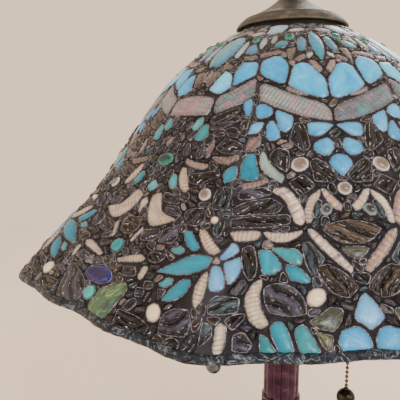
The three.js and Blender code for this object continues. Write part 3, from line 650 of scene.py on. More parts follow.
def clipped(polygon, normal, limit):
    """The part of a convex polygon where normal . point <= limit."""
    kept = []
    side = [normal[0] * x + normal[1] * y - limit for x, y in polygon]
    for i, (x, y) in enumerate(polygon):
        j = (i + 1) % len(polygon)
        if side[i] <= 0:
            kept.append((x, y))
        if (side[i] < 0) != (side[j] < 0):
            t = side[i] / (side[i] - side[j])
            kept.append((x + t * (polygon[j][0] - x), y + t * (polygon[j][1] - y)))
    return kept


def stretched(x, y, angle, s):
    """An offset q in the leaning metric that makes the dark pieces long: M q and q . M q."""
    lean = LEAN + SWAY * np.sin(8 * angle + s / 30)
    cosine, sine = np.cos(lean), np.sin(lean)
    along = (x * cosine + y * sine) / LENGTHEN
    across = (y * cosine - x * sine) * LENGTHEN
    mx, my = along * cosine - across * sine, along * sine + across * cosine
    return mx, my, x * mx + y * my


def cell(seed, seeds, walls, reach):
    """The convex piece round a seed: clear of the neighbouring seeds' pieces and of the feature pieces."""
    angle, s = seed
    polygon = [(-reach, -reach), (reach, -reach), (reach, reach), (-reach, reach)]
    x, y = near(seeds, angle, s, 2 * reach).T
    apart = np.hypot(x, y) > 1e-6
    x, y = x[apart], y[apart]
    mx, my, form = stretched(x, y, angle + x / 2 / radius_at(s), s - y / 2)
    length = np.hypot(mx, my)
    sites = list(zip(mx / length, my / length, form / 2 / length - FILL_GAP))
    x, y = near(walls, angle, s, reach + 2).T
    length = np.maximum(np.hypot(x, y), 1e-6)
    sites += list(zip(x / length, y / length, length - 2 * FILL_GAP))
    for x, y, limit in sorted(sites, key=lambda site: site[2]):
        polygon = clipped(polygon, (x, y), limit)
        if len(polygon) < 3:
            return None
    polygon = clipped(polygon, (0, 1), s - FILL_TOP)
    polygon = clipped(polygon, (0, -1), FILL_BOTTOM - s)
    return np.array(polygon) if len(polygon) > 2 else None


def filling_pieces(designed):
    draw = random.Random(5)
    walls = obstacles(designed)
    seeds = np.zeros((0, 2))
    for spacing, tries in FILL_ROUNDS:
        for _ in range(tries):
            s = draw.uniform(FILL_TOP + 1.5, FILL_BOTTOM - 1.5)
            angle = math.radians(draw.uniform(-EDGE, 90 - EDGE))
            if draw.random() > radius_at(s) / SHADE_R:
                continue
            around = near(walls, angle, s, SEED_CLEAR)
            if len(around) and np.hypot(*around.T).min() < SEED_CLEAR:
                continue
            others = near(seeds, angle, s, 2 * spacing)
            if len(others):
                x, y = others.T
                if stretched(x, y, angle + x / 2 / radius_at(s), s - y / 2)[2].min() < spacing ** 2:
                    continue
            if covered(angle, s, designed):
                continue
            seeds = np.vstack([seeds, [[angle, s]]])
    for _ in range(RELAX_ROUNDS):
        for seed, shape in zip(seeds, [cell(seed, seeds, walls, FILL_REACH) for seed in seeds]):
            if shape is not None:
                x, y = shape.mean(0)
                seed[1] -= RELAX * y
                seed[0] += RELAX * x / radius_at(seed[1])
    shapes = [cell(seed, seeds, walls, FILL_REACH) for seed in seeds]
    made = []
    for seed, shape in zip(seeds, shapes):
        if shape is None:
            continue
        shape = counter_clockwise(shape)
        if signed_area(shape) < LEAST_AREA:
            continue
        shape = shape - [0, seed[1]]
        glass = draw.choices(list(FILL_GLASS), list(FILL_GLASS.values()))[0]
        made.append(Piece(glass, rounded(shape, 0.5), math.degrees(seed[0]), 4, draw.uniform(0, 10)))
    return made


# ---- Mesh helpers ----
def mesh_object(name, points, faces, materials, index=None, attributes=None, smooth_angle=40):
    """An object from points in metres and triangles or quads, with one material number a face."""
    mesh = bpy.data.meshes.new(name)
    points = np.asarray(points, np.float32)
    faces = np.asarray(faces, np.int32)
    sides = faces.shape[1]
    mesh.vertices.add(len(points))
    mesh.vertices.foreach_set("co", points.ravel())
    mesh.loops.add(faces.size)
    mesh.loops.foreach_set("vertex_index", faces.ravel())
    mesh.polygons.add(len(faces))
    mesh.polygons.foreach_set("loop_start", np.arange(0, faces.size, sides, dtype=np.int32))
    for material in materials:
        mesh.materials.append(material)
    if index is not None:
        mesh.polygons.foreach_set("material_index", np.asarray(index, np.int32))
    mesh.update(calc_edges=True)
    for key, values in (attributes or {}).items():
        values = np.asarray(values, np.float32)
        kind = "FLOAT_VECTOR" if values.ndim == 2 else "FLOAT"
        layer = mesh.attributes.new(key, kind, "POINT")
        layer.data.foreach_set("vector" if values.ndim == 2 else "value", values.ravel())
    mesh.polygons.foreach_set("use_smooth", np.ones(len(faces), bool))
    mesh.set_sharp_from_angle(angle=math.radians(smooth_angle))
    piece = bpy.data.objects.new(name, mesh)
    bpy.context.scene.collection.objects.link(piece)
    return piece


def grid_faces(rows, columns):
    """Quads of a grid that closes on itself both ways."""
    i, j = np.meshgrid(np.arange(rows), np.arange(columns), indexing="ij")
    i2, j2 = (i + 1) % rows, (j + 1) % columns
    corners = [i * columns + j, i2 * columns + j, i2 * columns + j2, i * columns + j2]
    return np.stack(corners, -1).reshape(-1, 4)


def halved(quads):
    """Two triangles for each quad."""
    return np.concatenate([quads[:, [0, 1, 2]], quads[:, [0, 2, 3]]])


# ---- Materials ----
def srgb(text):
    """Linear colour of a written colour."""
    values = [int(text[i:i + 2], 16) / 255 for i in (1, 3, 5)]
    return (*[v / 12.92 if v <= 0.04045 else ((v + 0.055) / 1.055) ** 2.4 for v in values], 1)


class Nodes:
    """A short way to write a material's node tree."""

    def __init__(self, name):
        self.material = bpy.data.materials.new(name)
        self.material.use_nodes = True
        self.tree = self.material.node_tree
        self.shader = self.tree.nodes["Principled BSDF"]

    def node(self, kind, settings=None, **inputs):
        made = self.tree.nodes.new("ShaderNode" + kind)
        for key, value in (settings or {}).items():
            setattr(made, key, value)
        for key, value in inputs.items():
            self.put(made, key.replace("_", " "), value)
        return made

    def put(self, node, key, value):
        socket = node.inputs[int(key[1:])] if key[0] == "i" and key[1:].isdigit() else node.inputs[key]
        if isinstance(value, bpy.types.NodeSocket):
            self.tree.links.new(value, socket)
        else:
            socket.default_value = value

    def math(self, operation, a, b=0.0, clamp=False):
        return self.node("Math", {"operation": operation, "use_clamp": clamp}, i0=a, i1=b).outputs[0]

    def ramp(self, value, stops, interpolation="LINEAR"):
        made = self.node("ValToRGB", None, i0=value)
        ramp = made.color_ramp
        ramp.interpolation = interpolation
        while len(ramp.elements) < len(stops):
            ramp.elements.new(1)
        for element, (position, colour) in zip(ramp.elements, stops):
            element.position = position
            element.color = srgb(colour) if isinstance(colour, str) else (colour, colour, colour, 1)
        return made.outputs[0]

    def mix(self, factor, a, b, blend="MIX"):
        made = self.node("Mix", {"data_type": "RGBA", "blend_type": blend, "clamp_result": True})
        self.put(made, "i0", factor)
        self.put(made, "i6", srgb(a) if isinstance(a, str) else a)
        self.put(made, "i7", srgb(b) if isinstance(b, str) else b)
        return made.outputs[2]

    def noise(self, vector, scale, detail=3.0, roughness=0.55, distortion=0.0):
        made = self.node("TexNoise", None, Vector=vector, Scale=scale, Detail=detail, Roughness=roughness,
                         Distortion=distortion)
        return made.outputs[0]

    def attribute(self, name, output="Fac"):
        return self.node("Attribute", {"attribute_name": name}).outputs[output]

    def scaled(self, vector, x, y, z):
        return self.node("VectorMath", {"operation": "MULTIPLY"}, i0=vector, i1=(x, y, z)).outputs[0]

    def grain(self, x, y):
        """Coordinates along and across a piece of glass, scaled, and different on every copy of it."""
        far = self.math("MULTIPLY", self.attribute("tint"), 50.0)
        shift = self.node("CombineXYZ", None, X=0.0, Y=0.0, Z=far)
        flat_grain = self.scaled(self.attribute("grain", "Vector"), x, y, 1)
        return self.node("VectorMath", {"operation": "ADD"}, i0=flat_grain, i1=shift.outputs[0]).outputs[0]

    def varied(self, swing):
        """A shift of tone that differs from copy to copy."""
        return self.math("MULTIPLY", self.math("SUBTRACT", self.attribute("tint"), 0.5), swing)

    def edged(self, colour, amount, shade):
        """The colour, deeper towards the leaded edge of the piece."""
        edge = self.math("SUBTRACT", 1.0, self.attribute("edge"), True)
        return self.mix(self.math("MULTIPLY", edge, amount), colour, shade)

    def bump(self, height, distance_m, strength=1.0):
        return self.node("Bump", None, Height=height, Distance=distance_m, Strength=strength).outputs[0]

    def shade(self, **inputs):
        for key, value in inputs.items():
            self.put(self.shader, key.replace("_", " "), value)
        return self.material


def wispy(name, dark, mid, light, swing=0.35, gloss=0.2, along=0.05, across=0.13):
    """Smooth opalescent sheet glass with soft wisps, deeper towards its leaded edge."""
    n = Nodes(name)
    wisps = n.noise(n.grain(along, across), 1.0, 4, 0.6, 0.6)
    mottle = n.noise(n.grain(0.35, 0.35), 1.0, 3)
    blend = n.math("ADD", n.math("MULTIPLY", wisps, 0.9), n.math("MULTIPLY", mottle, 0.2))
    shift = n.varied(swing)
    colour = n.ramp(n.math("ADD", blend, shift), [(0.3, dark), (0.58, mid), (0.95, light)])
    colour = n.edged(colour, 0.22, "#1d2b32")
    rough = n.ramp(n.noise(n.grain(0.6, 0.6), 1.0, 2), [(0.3, gloss), (0.8, gloss + 0.14)])
    waves = n.noise(n.grain(0.12, 0.3), 1.0, 2)
    return n.shade(Base_Color=colour, Roughness=rough, Normal=n.bump(waves, 0.0007, 0.5),
                   Specular_IOR_Level=0.35)


def ribbed(name, dark, mid, light, line, pitch=2.1, streak=0.35, iridescent=()):
    """Drawn glass with cross ribs: a fine dark line of painted shade in each valley and streaks of colour
    along the piece.
    """
    n = Nodes(name)
    parts = n.node("SeparateXYZ", None, Vector=n.attribute("grain", "Vector"))
    wobble = n.math("MULTIPLY", n.math("SUBTRACT", n.noise(n.grain(0.1, 0.3), 1.0, 2), 0.5), 1.6)
    phase = n.math("MULTIPLY", n.math("ADD", parts.outputs[0], wobble), TAU / pitch)
    rib = n.math("ADD", n.math("MULTIPLY", n.math("SINE", phase), 0.5), 0.5)
    streaks = n.noise(n.grain(0.09, 0.5), 1.0, 4, 0.6, 0.4)
    shift = n.varied(streak)
    colour = n.ramp(n.math("ADD", streaks, shift), [(0.3, dark), (0.52, mid), (0.75, light)])
    if iridescent:
        tones = n.noise(n.grain(0.22, 0.05), 1.0, 3, 0.6, 0.7)
        colour = n.mix(n.ramp(tones, [(0.5, 0.0), (0.6, 0.75)]), colour, iridescent[0])
        colour = n.mix(n.ramp(tones, [(0.36, 0.7), (0.46, 0.0)]), colour, iridescent[1])
    # painted shade: the dark line colour laid into the valley of each rib, in patches
    valley = n.ramp(rib, [(0.0, 1.0), (0.28, 0.0)])
    patches = n.ramp(n.noise(n.grain(0.14, 0.14), 1.0, 2), [(0.35, 0.1), (0.65, 0.8)])
    colour = n.mix(n.math("MULTIPLY", valley, patches), colour, line)
    colour = n.edged(colour, 0.3, "#4a4038")
    return n.shade(Base_Color=colour, Roughness=0.3, Normal=n.bump(rib, 0.0006, 0.8), Coat_Weight=0.15,
                   Coat_Roughness=0.1)


def ripple(name, deep, body, crest, painted_glint, wave, painted_glint_strength=1.0, gloss=0.16):
    """Heavy ripple glass: near black in the folds (painted shade), streaked on the backs between them, with
    thin painted highlights (glints).
    """
    n = Nodes(name)
    x, y, seed = n.node("SeparateXYZ", None, Vector=n.attribute("grain", "Vector")).outputs

    def sway(of, pace, turn, height):
        angle = n.math("ADD", n.math("MULTIPLY", of, pace / wave), n.math("MULTIPLY", seed, turn))
        return n.math("MULTIPLY", n.math("SINE", angle), height)

    bend = n.math("ADD", sway(x, 1.3, 1.0, 1.5), sway(y, 0.9, 2.3, 1.1))
    bend = n.math("ADD", bend, sway(x, 2.1, 5.1, 0.8))
    rough_edge = n.math("MULTIPLY", n.math("SUBTRACT", n.noise(n.grain(0.35, 0.6), 1.0, 3), 0.5), 2.6)
    fold = n.math("SINE", n.math("ADD", n.math("ADD", n.math("MULTIPLY", y, TAU / wave), bend), rough_edge))
    streaks = n.noise(n.grain(0.12, 0.6), 1.0, 4, 0.6, 0.8)
    shift = n.varied(0.3)
    back = n.ramp(n.math("ADD", streaks, shift), [(0.25, deep), (0.45, body), (0.68, crest)])
    # painted shade: where the fold relief dips, the colour goes near black
    level = n.math("ADD", n.math("MULTIPLY", fold, 0.5), 0.5)
    colour = n.mix(n.ramp(level, [(0.2, 0.0), (0.55, 1.0)]), deep, back)
    # painted highlights: thin glint lines along the side of each fold, in spots
    glint_spots = n.ramp(n.noise(n.grain(0.25, 0.5), 1.0, 3), [(0.5, 0.0), (0.62, painted_glint_strength)])
    line = n.ramp(level, [(0.24, 0.0), (0.34, 1.0), (0.44, 0.0)])
    colour = n.mix(n.math("MULTIPLY", glint_spots, line), colour, painted_glint)
    relief = n.math("ADD", n.math("MULTIPLY", fold, 0.6), n.math("MULTIPLY", streaks, 0.35))
    return n.shade(Base_Color=colour, Roughness=gloss, Normal=n.bump(relief, 0.0016, 0.75),
                   Specular_IOR_Level=0.38)


def streaky(name, colours, gloss=0.2):
    """Rolled glass with long wandering streaks of several colours."""
    n = Nodes(name)
    flow = n.noise(n.grain(0.07, 0.26), 1.0, 5, 0.65, 1.4)
    shift = n.varied(0.25)
    stops = [(0.28 + 0.44 * i / (len(colours) - 1), c) for i, c in enumerate(colours)]
    colour = n.ramp(n.math("ADD", flow, shift), stops)
    return n.shade(Base_Color=colour, Roughness=gloss, Normal=n.bump(flow, 0.001, 0.6), Coat_Weight=0.2,
                   Coat_Roughness=0.08)


def jewel(name, deep, body, rim, gloss=0.06):
    """A pressed glass jewel: deep in the middle, another tone where it thins at the rim, and cloudy."""
    n = Nodes(name)
    clouds = n.noise(n.grain(0.3, 0.3), 1.0, 3, 0.6, 0.5)
    level = n.math("ADD", n.math("MULTIPLY", n.attribute("edge"), 0.75), n.math("MULTIPLY", clouds, 0.4))
    colour = n.ramp(level, [(0.15, rim), (0.55, body), (0.95, deep)])
    return n.shade(Base_Color=colour, Roughness=gloss, Normal=n.bump(clouds, 0.0004, 0.4),
                   Specular_IOR_Level=0.45)


def metal(name, dark, base, bright, rough=(0.3, 0.55), metallic=0.85, scale=90.0, bump=0.0002, wear=0.5):
    """Patinated metal: blotches of tone and gloss, worn bright on raised places, with fine pitting."""
    n = Nodes(name)
    where = n.node("TexCoord").outputs["Object"]
    blotch = n.noise(where, scale, 4, 0.6, 0.3)
    grit = n.noise(where, scale * 9, 3, 0.6)
    colour = n.ramp(n.math("ADD", n.math("MULTIPLY", blotch, 0.8), n.math("MULTIPLY", grit, 0.2)),
                    [(0.3, dark), (0.52, base), (0.78, bright)])
    high = n.ramp(n.node("NewGeometry").outputs["Pointiness"], [(0.5, 0.0), (0.56, wear)])
    colour = n.mix(high, colour, bright)
    gloss = n.ramp(blotch, [(0.3, rough[0]), (0.75, rough[1])])
    lumps = n.math("ADD", blotch, n.math("MULTIPLY", grit, 0.4))
    return n.shade(Base_Color=colour, Roughness=gloss, Metallic=metallic,
                   Normal=n.bump(lumps, bump * 4, 0.6))


# ripple(): its first colour is both the darkest streak tone and the painted shade in the folds, its fourth
# the painted glint; ribbed(): its fourth colour is the painted shade in the rib valleys
GLASS = {
    "sky": wispy("glass_sky", "#0f90d0", "#32b4ea", "#80dcf7"),
    "blue": wispy("glass_blue", "#1c86c4", "#369fd8", "#6dc0ec"),
    "blue_pale": wispy("glass_blue_pale", "#3c8ec4", "#5ea8da", "#8ec8ec"),
    "blue_dim": wispy("glass_blue_dim", "#28688a", "#4084aa", "#6aa8c6"),
    "teal": wispy("glass_teal", "#006a88", "#00829e", "#149cb0", 0.25),
    "teal_pale": wispy("glass_teal_pale", "#137684", "#2a8f9a", "#5cb0b2"),
    "teal_dim": wispy("glass_teal_dim", "#1a616e", "#33808c", "#62a2a8"),
    "leaf_pale": wispy("glass_leaf_pale", "#2f7c96", "#569ab0", "#8cbecb"),
    "leaf_teal": wispy("glass_leaf_teal", "#0f7792", "#2a93ac", "#5bb2c6"),
    "pale": wispy("glass_pale", "#6f93a8", "#98b4c4", "#c0d2d8"),
    "mint": wispy("glass_mint", "#6d8a80", "#94aaa2", "#b6c4ae"),
    "lilac": wispy("glass_lilac", "#7b7582", "#a29ba6", "#c2bbc2"),
    "pink": ribbed("glass_pink", "#55423f", "#7d6662", "#a68e87", "#3a2c2a", 2.6, 0.4),
    "taupe": streaky("glass_taupe", ["#2c2725", "#4d4541", "#73675f", "#4c5654"]),
    "slate": ripple("glass_slate", "#03080b", "#16242d", "#41545f", "#cfdadd", RIPPLE.wave, 0.8),
    "ribbon": ribbed("glass_ribbon", "#3d4e59", "#66747a", "#989b8c", "#515c61", 2.6, 0.3,
                     ("#a06c84", "#4f8c92")),
    "ribbon_rose": ribbed("glass_ribbon_rose", "#5a5056", "#86787a", "#b5a29c", "#6a6063", 2.6, 0.3,
                          ("#a97688", "#6f8f94")),
    "cream": ribbed("glass_cream", "#ab947d", "#cfbba6", "#efe3d2", "#473529", 2.4, 0.25),
    "candy": ribbed("glass_candy", "#9a7d68", "#cdb59c", "#f2e7d5", "#4e2f30", 4.6, 0.3,
                    ("#94708a", "#c09470")),
    "black": ripple("glass_black", "#000000", "#050507", "#27252c", "#f4f1f6", FOLDED.wave),
    "purple": ripple("glass_purple", "#020106", "#191824", "#454254", "#cfcad6", FOLDED.wave),
    "brown": ripple("glass_brown", "#050302", "#271e19", "#53463b", "#cfc0ad", FOLDED.wave),
    "dark": ripple("glass_dark", "#010103", "#0b0b11", "#3f3c47", "#d6d4da", RIPPLE.wave, 0.7),
    "smoke": ripple("glass_smoke", "#020204", "#1a171b", "#524c50", "#cbc6c6", RIPPLE.wave, 0.7),
    "green": streaky("glass_green", ["#030806", "#0e2e1b", "#35653a", "#8a9c5c"]),
    "olive": streaky("glass_olive", ["#07090a", "#1c2620", "#454b2e", "#7d7a50"]),
    "jewel_green": jewel("jewel_green", "#022c28", "#05695b", "#0d8f7b"),
    "jewel_clear": jewel("jewel_clear", "#6b5f54", "#94887b", "#d6d2ca"),
    "jewel_cream": jewel("jewel_cream", "#e8cfae", "#eedcc2", "#b49c82"),
    "jewel_smoke": jewel("jewel_smoke", "#20292b", "#4b5759", "#8d9698"),
    "jewel_teal": jewel("jewel_teal", "#04787f", "#0b9399", "#022a2d"),
    "jewel_blue": jewel("jewel_blue", "#01013c", "#030386", "#010138", 0.08),
    "jewel_turquoise": jewel("jewel_turquoise", "#1f9c94", "#4fbcae", "#0f5c58"),
}

SOLDER = metal("solder_patina", "#08080c", "#18161c", "#423f49", (0.35, 0.6), 0.6, 240.0, 0.0005, 0.5)
FOIL = metal("solder_foil", "#26242a", "#6c6a71", "#d6d4da", (0.22, 0.4), 0.85, 420.0, 0.0003, 0.7)


def puddled(name, dark, base, painted_glint):
    """Thick solder that has run and set: dark and bluish, with thin bright curls round its puddles and
    bright spots that are painted highlights.
    """
    n = Nodes(name)
    where = n.node("TexCoord").outputs["Object"]
    flow = n.noise(n.scaled(where, 1, 1, 1.8), 75, 3, 0.55, 1.6)
    lumps = n.noise(where, 260, 4, 0.6, 0.6)
    colour = n.ramp(lumps, [(0.35, dark), (0.65, base)])
    # painted highlights: thin bright curls round the puddles and bright spots on the lumps, in the glint
    # colour
    glint_curls = n.ramp(flow, [(0.47, 0.0), (0.5, 1.0), (0.53, 0.0)])
    glint_spots = n.ramp(lumps, [(0.6, 0.0), (0.72, 0.7)])
    bright = n.math("MAXIMUM", n.math("MULTIPLY", glint_curls, 0.45), glint_spots)
    colour = n.mix(bright, colour, painted_glint)
    heights = n.math("ADD", n.math("MULTIPLY", flow, 0.8), n.math("MULTIPLY", lumps, 0.5))
    return n.shade(Base_Color=colour, Metallic=0.7, Roughness=n.ramp(lumps, [(0.3, 0.45), (0.7, 0.18)]),
                   Normal=n.bump(heights, 0.003, 1.0))


# the last colour is the painted highlight of the rim's curls and spots
RIM_METAL = puddled("rim_came", "#12161d", "#2f3843", "#96a2af")


# ---- Shade assembly ----
MATRIX_OUT, MATRIX_IN = 0.3, -1.6   # the faces of the soldered ground, outside the reference surface
# section of the solder bead round a piece of glass: (out from its edge, up from just under its shoulder)
BEAD = [(0.7, -0.3), (0.34, 0.36), (-0.06, 0.34), (-0.25, -0.25)]


def bumps(points, scale):
    """Smooth repeatable unevenness between -1 and 1 at points in metres."""
    return np.array([noise.noise(Vector(p) * scale) for p in points])


def panel_shell(index):
    """The solder-filled ground of one panel, as a closed slab: points and triangles."""
    columns, rows = 30, 84
    angle = (index + np.arange(columns + 1) / columns) * TAU / PANELS
    down = np.linspace(0.4, SHADE_LENGTH - 0.1, rows + 1)
    a, s = np.meshgrid(angle, down)
    skins = []
    for h, swing in ((MATRIX_OUT, 0.28), (MATRIX_IN, 0.1)):
        flat_skin = shade_points(a.ravel(), s.ravel(), h)
        skins.append(shade_points(a.ravel(), s.ravel(), h + swing * bumps(flat_skin, 330)))
    at = np.arange((rows + 1) * (columns + 1)).reshape(rows + 1, columns + 1)
    count = at.size

    def band(*corners):
        return halved(np.stack(corners, -1).reshape(-1, 4))

    top = band(at[:-1, :-1], at[1:, :-1], at[1:, 1:], at[:-1, 1:])
    faces = [top, top[:, ::-1] + count]
    edge = np.concatenate([at[0, :], at[1:, -1], at[-1, -2::-1], at[-2:0:-1, 0]])
    after = np.roll(edge, -1)
    faces.append(band(edge, after, after + count, edge + count))
    return np.vstack(skins), np.vstack(faces)


def bead_ring(piece, draw):
    """The raised solder bead round one piece of glass: points (x, y, h) and triangles."""
    outline = piece.outline
    normals = outward(outline)
    n = len(outline)
    swell = np.array([draw.uniform(0.8, 1.15) for _ in range(n)])
    rows = [np.column_stack([outline + normals * out, SHOULDER_H - 0.1 + h * swell]) for out, h in BEAD]
    points = np.stack(rows, 1).reshape(-1, 3)
    return points, halved(grid_faces(n, len(BEAD)))


def placed(points, turn, mirrored):
    """Flat points (x, y, h) of a piece set on the shade."""
    x, y, h = points.T
    angle = x / radius_at(-y) * (-1 if mirrored else 1)
    return shade_points(math.radians(turn) + angle, -y, h)


class Heap:
    """Collects the meshes of many solids into one object."""

    def __init__(self):
        self.points, self.faces, self.index, self.attributes = [], [], [], {}
        self.count = 0

    def put(self, points, faces, material, **attributes):
        self.points.append(points)
        self.faces.append(faces + self.count)
        self.index.append(np.full(len(faces), material))
        for key, values in attributes.items():
            self.attributes.setdefault(key, []).append(values)
        self.count += len(points)

    def build(self, name, materials, smooth_angle=50):
        joined = {key: np.concatenate(rows) for key, rows in self.attributes.items()}
        return mesh_object(name, np.vstack(self.points), np.vstack(self.faces), materials,
                           np.concatenate(self.index), joined, smooth_angle)


def installed(piece, body, node):
    """Put a finished piece on its body, in place of its CAD node, which is hidden."""
    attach(piece, body)
    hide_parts(node)


def build_shade():
    designed = designed_pieces()
    pieces = [piece for piece in designed + filling_pieces(designed) if piece.valid]
    glass = [Heap() for _ in range(PANELS)]
    leading = [Heap() for _ in range(PANELS)]
    draw = random.Random(23)
    for index in range(PANELS):
        leading[index].put(*panel_shell(index), 0)
    green = GLASS_NAMES.index("green")
    for number, piece in enumerate(pieces):
        foil = 1 if number < len(designed) or draw.random() < 0.45 else 0
        ring_points, ring_faces = bead_ring(piece, draw)
        middle = math.degrees(piece.outline[:, 0].mean() / radius_at(-piece.outline[:, 1].mean()))
        for turn, mirrored in places(piece):
            panel = int(((turn + (-middle if mirrored else middle)) % 360) // 45)
            order = [0, 2, 1] if mirrored else [0, 1, 2]
            points = placed(piece.points, turn, mirrored)
            tint = np.full(len(points), draw.random())
            colour = GLASS_NAMES.index("dark") if mirrored and piece.glass == green else piece.glass
            glass[panel].put(points, piece.faces[:, order], colour,
                             grain=piece.grain, tint=tint, edge=piece.edge)
            leading[panel].put(placed(ring_points, turn, mirrored), ring_faces[:, order[::-1]], foil)
    materials = [GLASS[name] for name in GLASS_NAMES]
    for index in range(PANELS):
        for heap, name, set_of, slot in (
            (glass[index], f"shade_glass_{index + 1}", materials, "mosaic_glass"),
            (leading[index], f"shade_leading_{index + 1}", [SOLDER, FOIL], "solder_lead"),
        ):
            installed(heap.build(name, set_of), "shade", f"shade_panel_{index + 1}")


def build_rim():
    """The came round the lower edge, with the lumps of its soldering."""
    around, sides = 1100, 14
    angle = np.arange(around) * TAU / around
    edge = shade_points(angle, np.full(around, SHADE_LENGTH), 0)
    down = (edge - shade_points(angle, np.full(around, SHADE_LENGTH - 2), 0)) / 2
    out = shade_points(angle, np.full(around, SHADE_LENGTH), 1) - edge
    turn = np.arange(sides) * TAU / sides
    lump = 1 + 0.08 * bumps(edge, 90) + 0.13 * bumps(edge, 280)
    half_height, half_width = 2.7, 1.7
    turn = turn[:, None]
    section = half_height * down[:, None] * np.cos(turn) + half_width * out[:, None] * np.sin(turn)
    points = (edge - 1.6 * down)[:, None] + lump[:, None, None] * section
    points += 0.22 * out[:, None] * bumps(points.reshape(-1, 3), 520).reshape(around, sides, 1)
    piece = mesh_object("shade_rim", points.reshape(-1, 3), grid_faces(around, sides), [RIM_METAL],
                        smooth_angle=80)
    installed(piece, "shade", "shade_rim_came")


# ---- Turned and cast pieces, in millimetres ----
def soft(steps, *points):
    """A smooth path through points, with this many steps from one to the next: a Catmull-Rom curve."""
    points = np.array(points, float)
    last = len(points) - 1
    path = []
    for i in range(last):
        a, b, c, d = points[max(i - 1, 0)], points[i], points[i + 1], points[min(i + 2, last)]
        for t in np.arange(steps) / steps:
            path.append(0.5 * (2 * b + (c - a) * t + (2 * a - 5 * b + 4 * c - d) * t ** 2
                               + (3 * b - a - 3 * c + d) * t ** 3))
    return [tuple(p) for p in path] + [tuple(points[-1])]


def lathe(base, *stretches):
    """A profile of (radius, height above a base) from single points and soft curves, one after the other."""
    path = []
    for stretch in stretches:
        path += stretch if isinstance(stretch, list) else [stretch]
    return [(r, base + z) for r, z in path]


def facing_out(points, faces):
    """The triangles of a closed solid, turned if need be so that they face out of it."""
    corner = points[faces]
    volume = np.einsum("ij,ij->i", corner[:, 0], np.cross(corner[:, 1], corner[:, 2])).sum()
    return points, faces if volume > 0 else faces[:, ::-1]


def spun(profile, segments=96, shape=None):
    """Triangles of a (radius, height) profile turned about Z.

    A profile that starts and ends on the axis makes a solid, any other is closed into a ring. shape changes
    the radius of a point: shape(radius, angle, height)."""
    solid = profile[0][0] == 0 and profile[-1][0] == 0
    rows = np.array(profile[1:-1] if solid else profile, float)
    angle = np.arange(segments) * TAU / segments
    a, r = np.meshgrid(angle, rows[:, 0], indexing="ij")
    z = np.broadcast_to(rows[:, 1], r.shape)
    if shape:
        r = shape(r, a, z)
    points = np.stack([r * np.cos(a), r * np.sin(a), z], -1).reshape(-1, 3)
    n = len(rows)
    quads = grid_faces(segments, n).reshape(segments, n, 4)
    faces = halved((quads[:, :-1] if solid else quads).reshape(-1, 4))
    if solid:
        low, high = len(points), len(points) + 1
        points = np.vstack([points, [[0, 0, profile[0][1]], [0, 0, profile[-1][1]]]])
        here = np.arange(segments) * n
        there = np.roll(here, -1)
        bottom = np.stack([np.full(segments, low), there, here], -1)
        top = np.stack([here + n - 1, there + n - 1, np.full(segments, high)], -1)
        faces = np.vstack([faces, bottom, top])
    return facing_out(points, faces)


def moved(solid, place):
    points, faces = solid
    return points + place, faces


def ball(centre, radius, segments=14, rings=9, squash=1.0):
    turn = np.linspace(-math.pi / 2, math.pi / 2, rings + 1)[1:-1]
    profile = [(radius * math.cos(t), radius * squash * math.sin(t)) for t in turn]
    return moved(spun([(0, -radius * squash), *profile, (0, radius * squash)], segments), centre)


def ball_ring(count, ring_r, z, radius, segments=8, rings=5):
    """Balls evenly spaced round the axis."""
    turns = np.arange(count) * TAU / count
    return [ball([ring_r * math.cos(t), ring_r * math.sin(t), z], radius, segments, rings) for t in turns]


def tube(rings):
    """A bar through rings of points, closed by a fan at each end."""
    rows, sides = rings.shape[:2]
    walls = halved(grid_faces(rows, sides).reshape(rows, sides, 4)[:-1].reshape(-1, 4))
    fan = np.array([[0, i, i + 1] for i in range(1, sides - 1)])
    return facing_out(rings.reshape(-1, 3), np.vstack([walls, fan[:, ::-1], fan + (rows - 1) * sides]))


def arch(centre, radius, wire, facing, steps=14, sides=8):
    """A round wire bent to a half circle, which stands up and faces a horizontal direction."""
    turn = np.linspace(0, math.pi, steps + 1)
    level = np.array([-math.sin(facing), math.cos(facing), 0])
    ahead = np.array([math.cos(facing), math.sin(facing), 0])
    spoke = (np.cos(turn)[:, None] * level + np.sin(turn)[:, None] * [0, 0, 1])[:, None]
    around = (np.arange(sides) * TAU / sides)[:, None]
    return tube(centre + radius * spoke + wire * (np.cos(around) * spoke + np.sin(around) * ahead))


def swept(path, radius, sides=14):
    """A round bar along a path of points in a vertical plane."""
    ahead = np.gradient(path, axis=0)
    ahead /= np.linalg.norm(ahead, axis=1)[:, None]
    across = np.cross(path[-1] - path[0], [0, 0, 1])
    across = across / np.linalg.norm(across)
    second = np.cross(ahead, across)
    turn = (np.arange(sides) * TAU / sides)[:, None]
    return tube(path[:, None] + radius * (np.cos(turn) * across + np.sin(turn) * second[:, None]))


def part(name, body, node, slot, solids, *materials, smooth_angle=40):
    """A finished piece from solids, (points, triangles) or (points, triangles, number of the material)."""
    heap = Heap()
    for points, faces, *number in solids:
        heap.put(points * MM, faces, *(number or [0]))
    installed(heap.build(name, materials, smooth_angle), body, node)


def box_mm(node):
    low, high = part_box(node)
    return np.array(low) / MM, np.array(high) / MM


def middle_of(node):
    low, high = box_mm(node)
    return (low + high) / 2


def span(node):
    """The lowest height of a CAD node, and how tall it is."""
    low, high = box_mm(node)
    return low[2], high[2] - low[2]


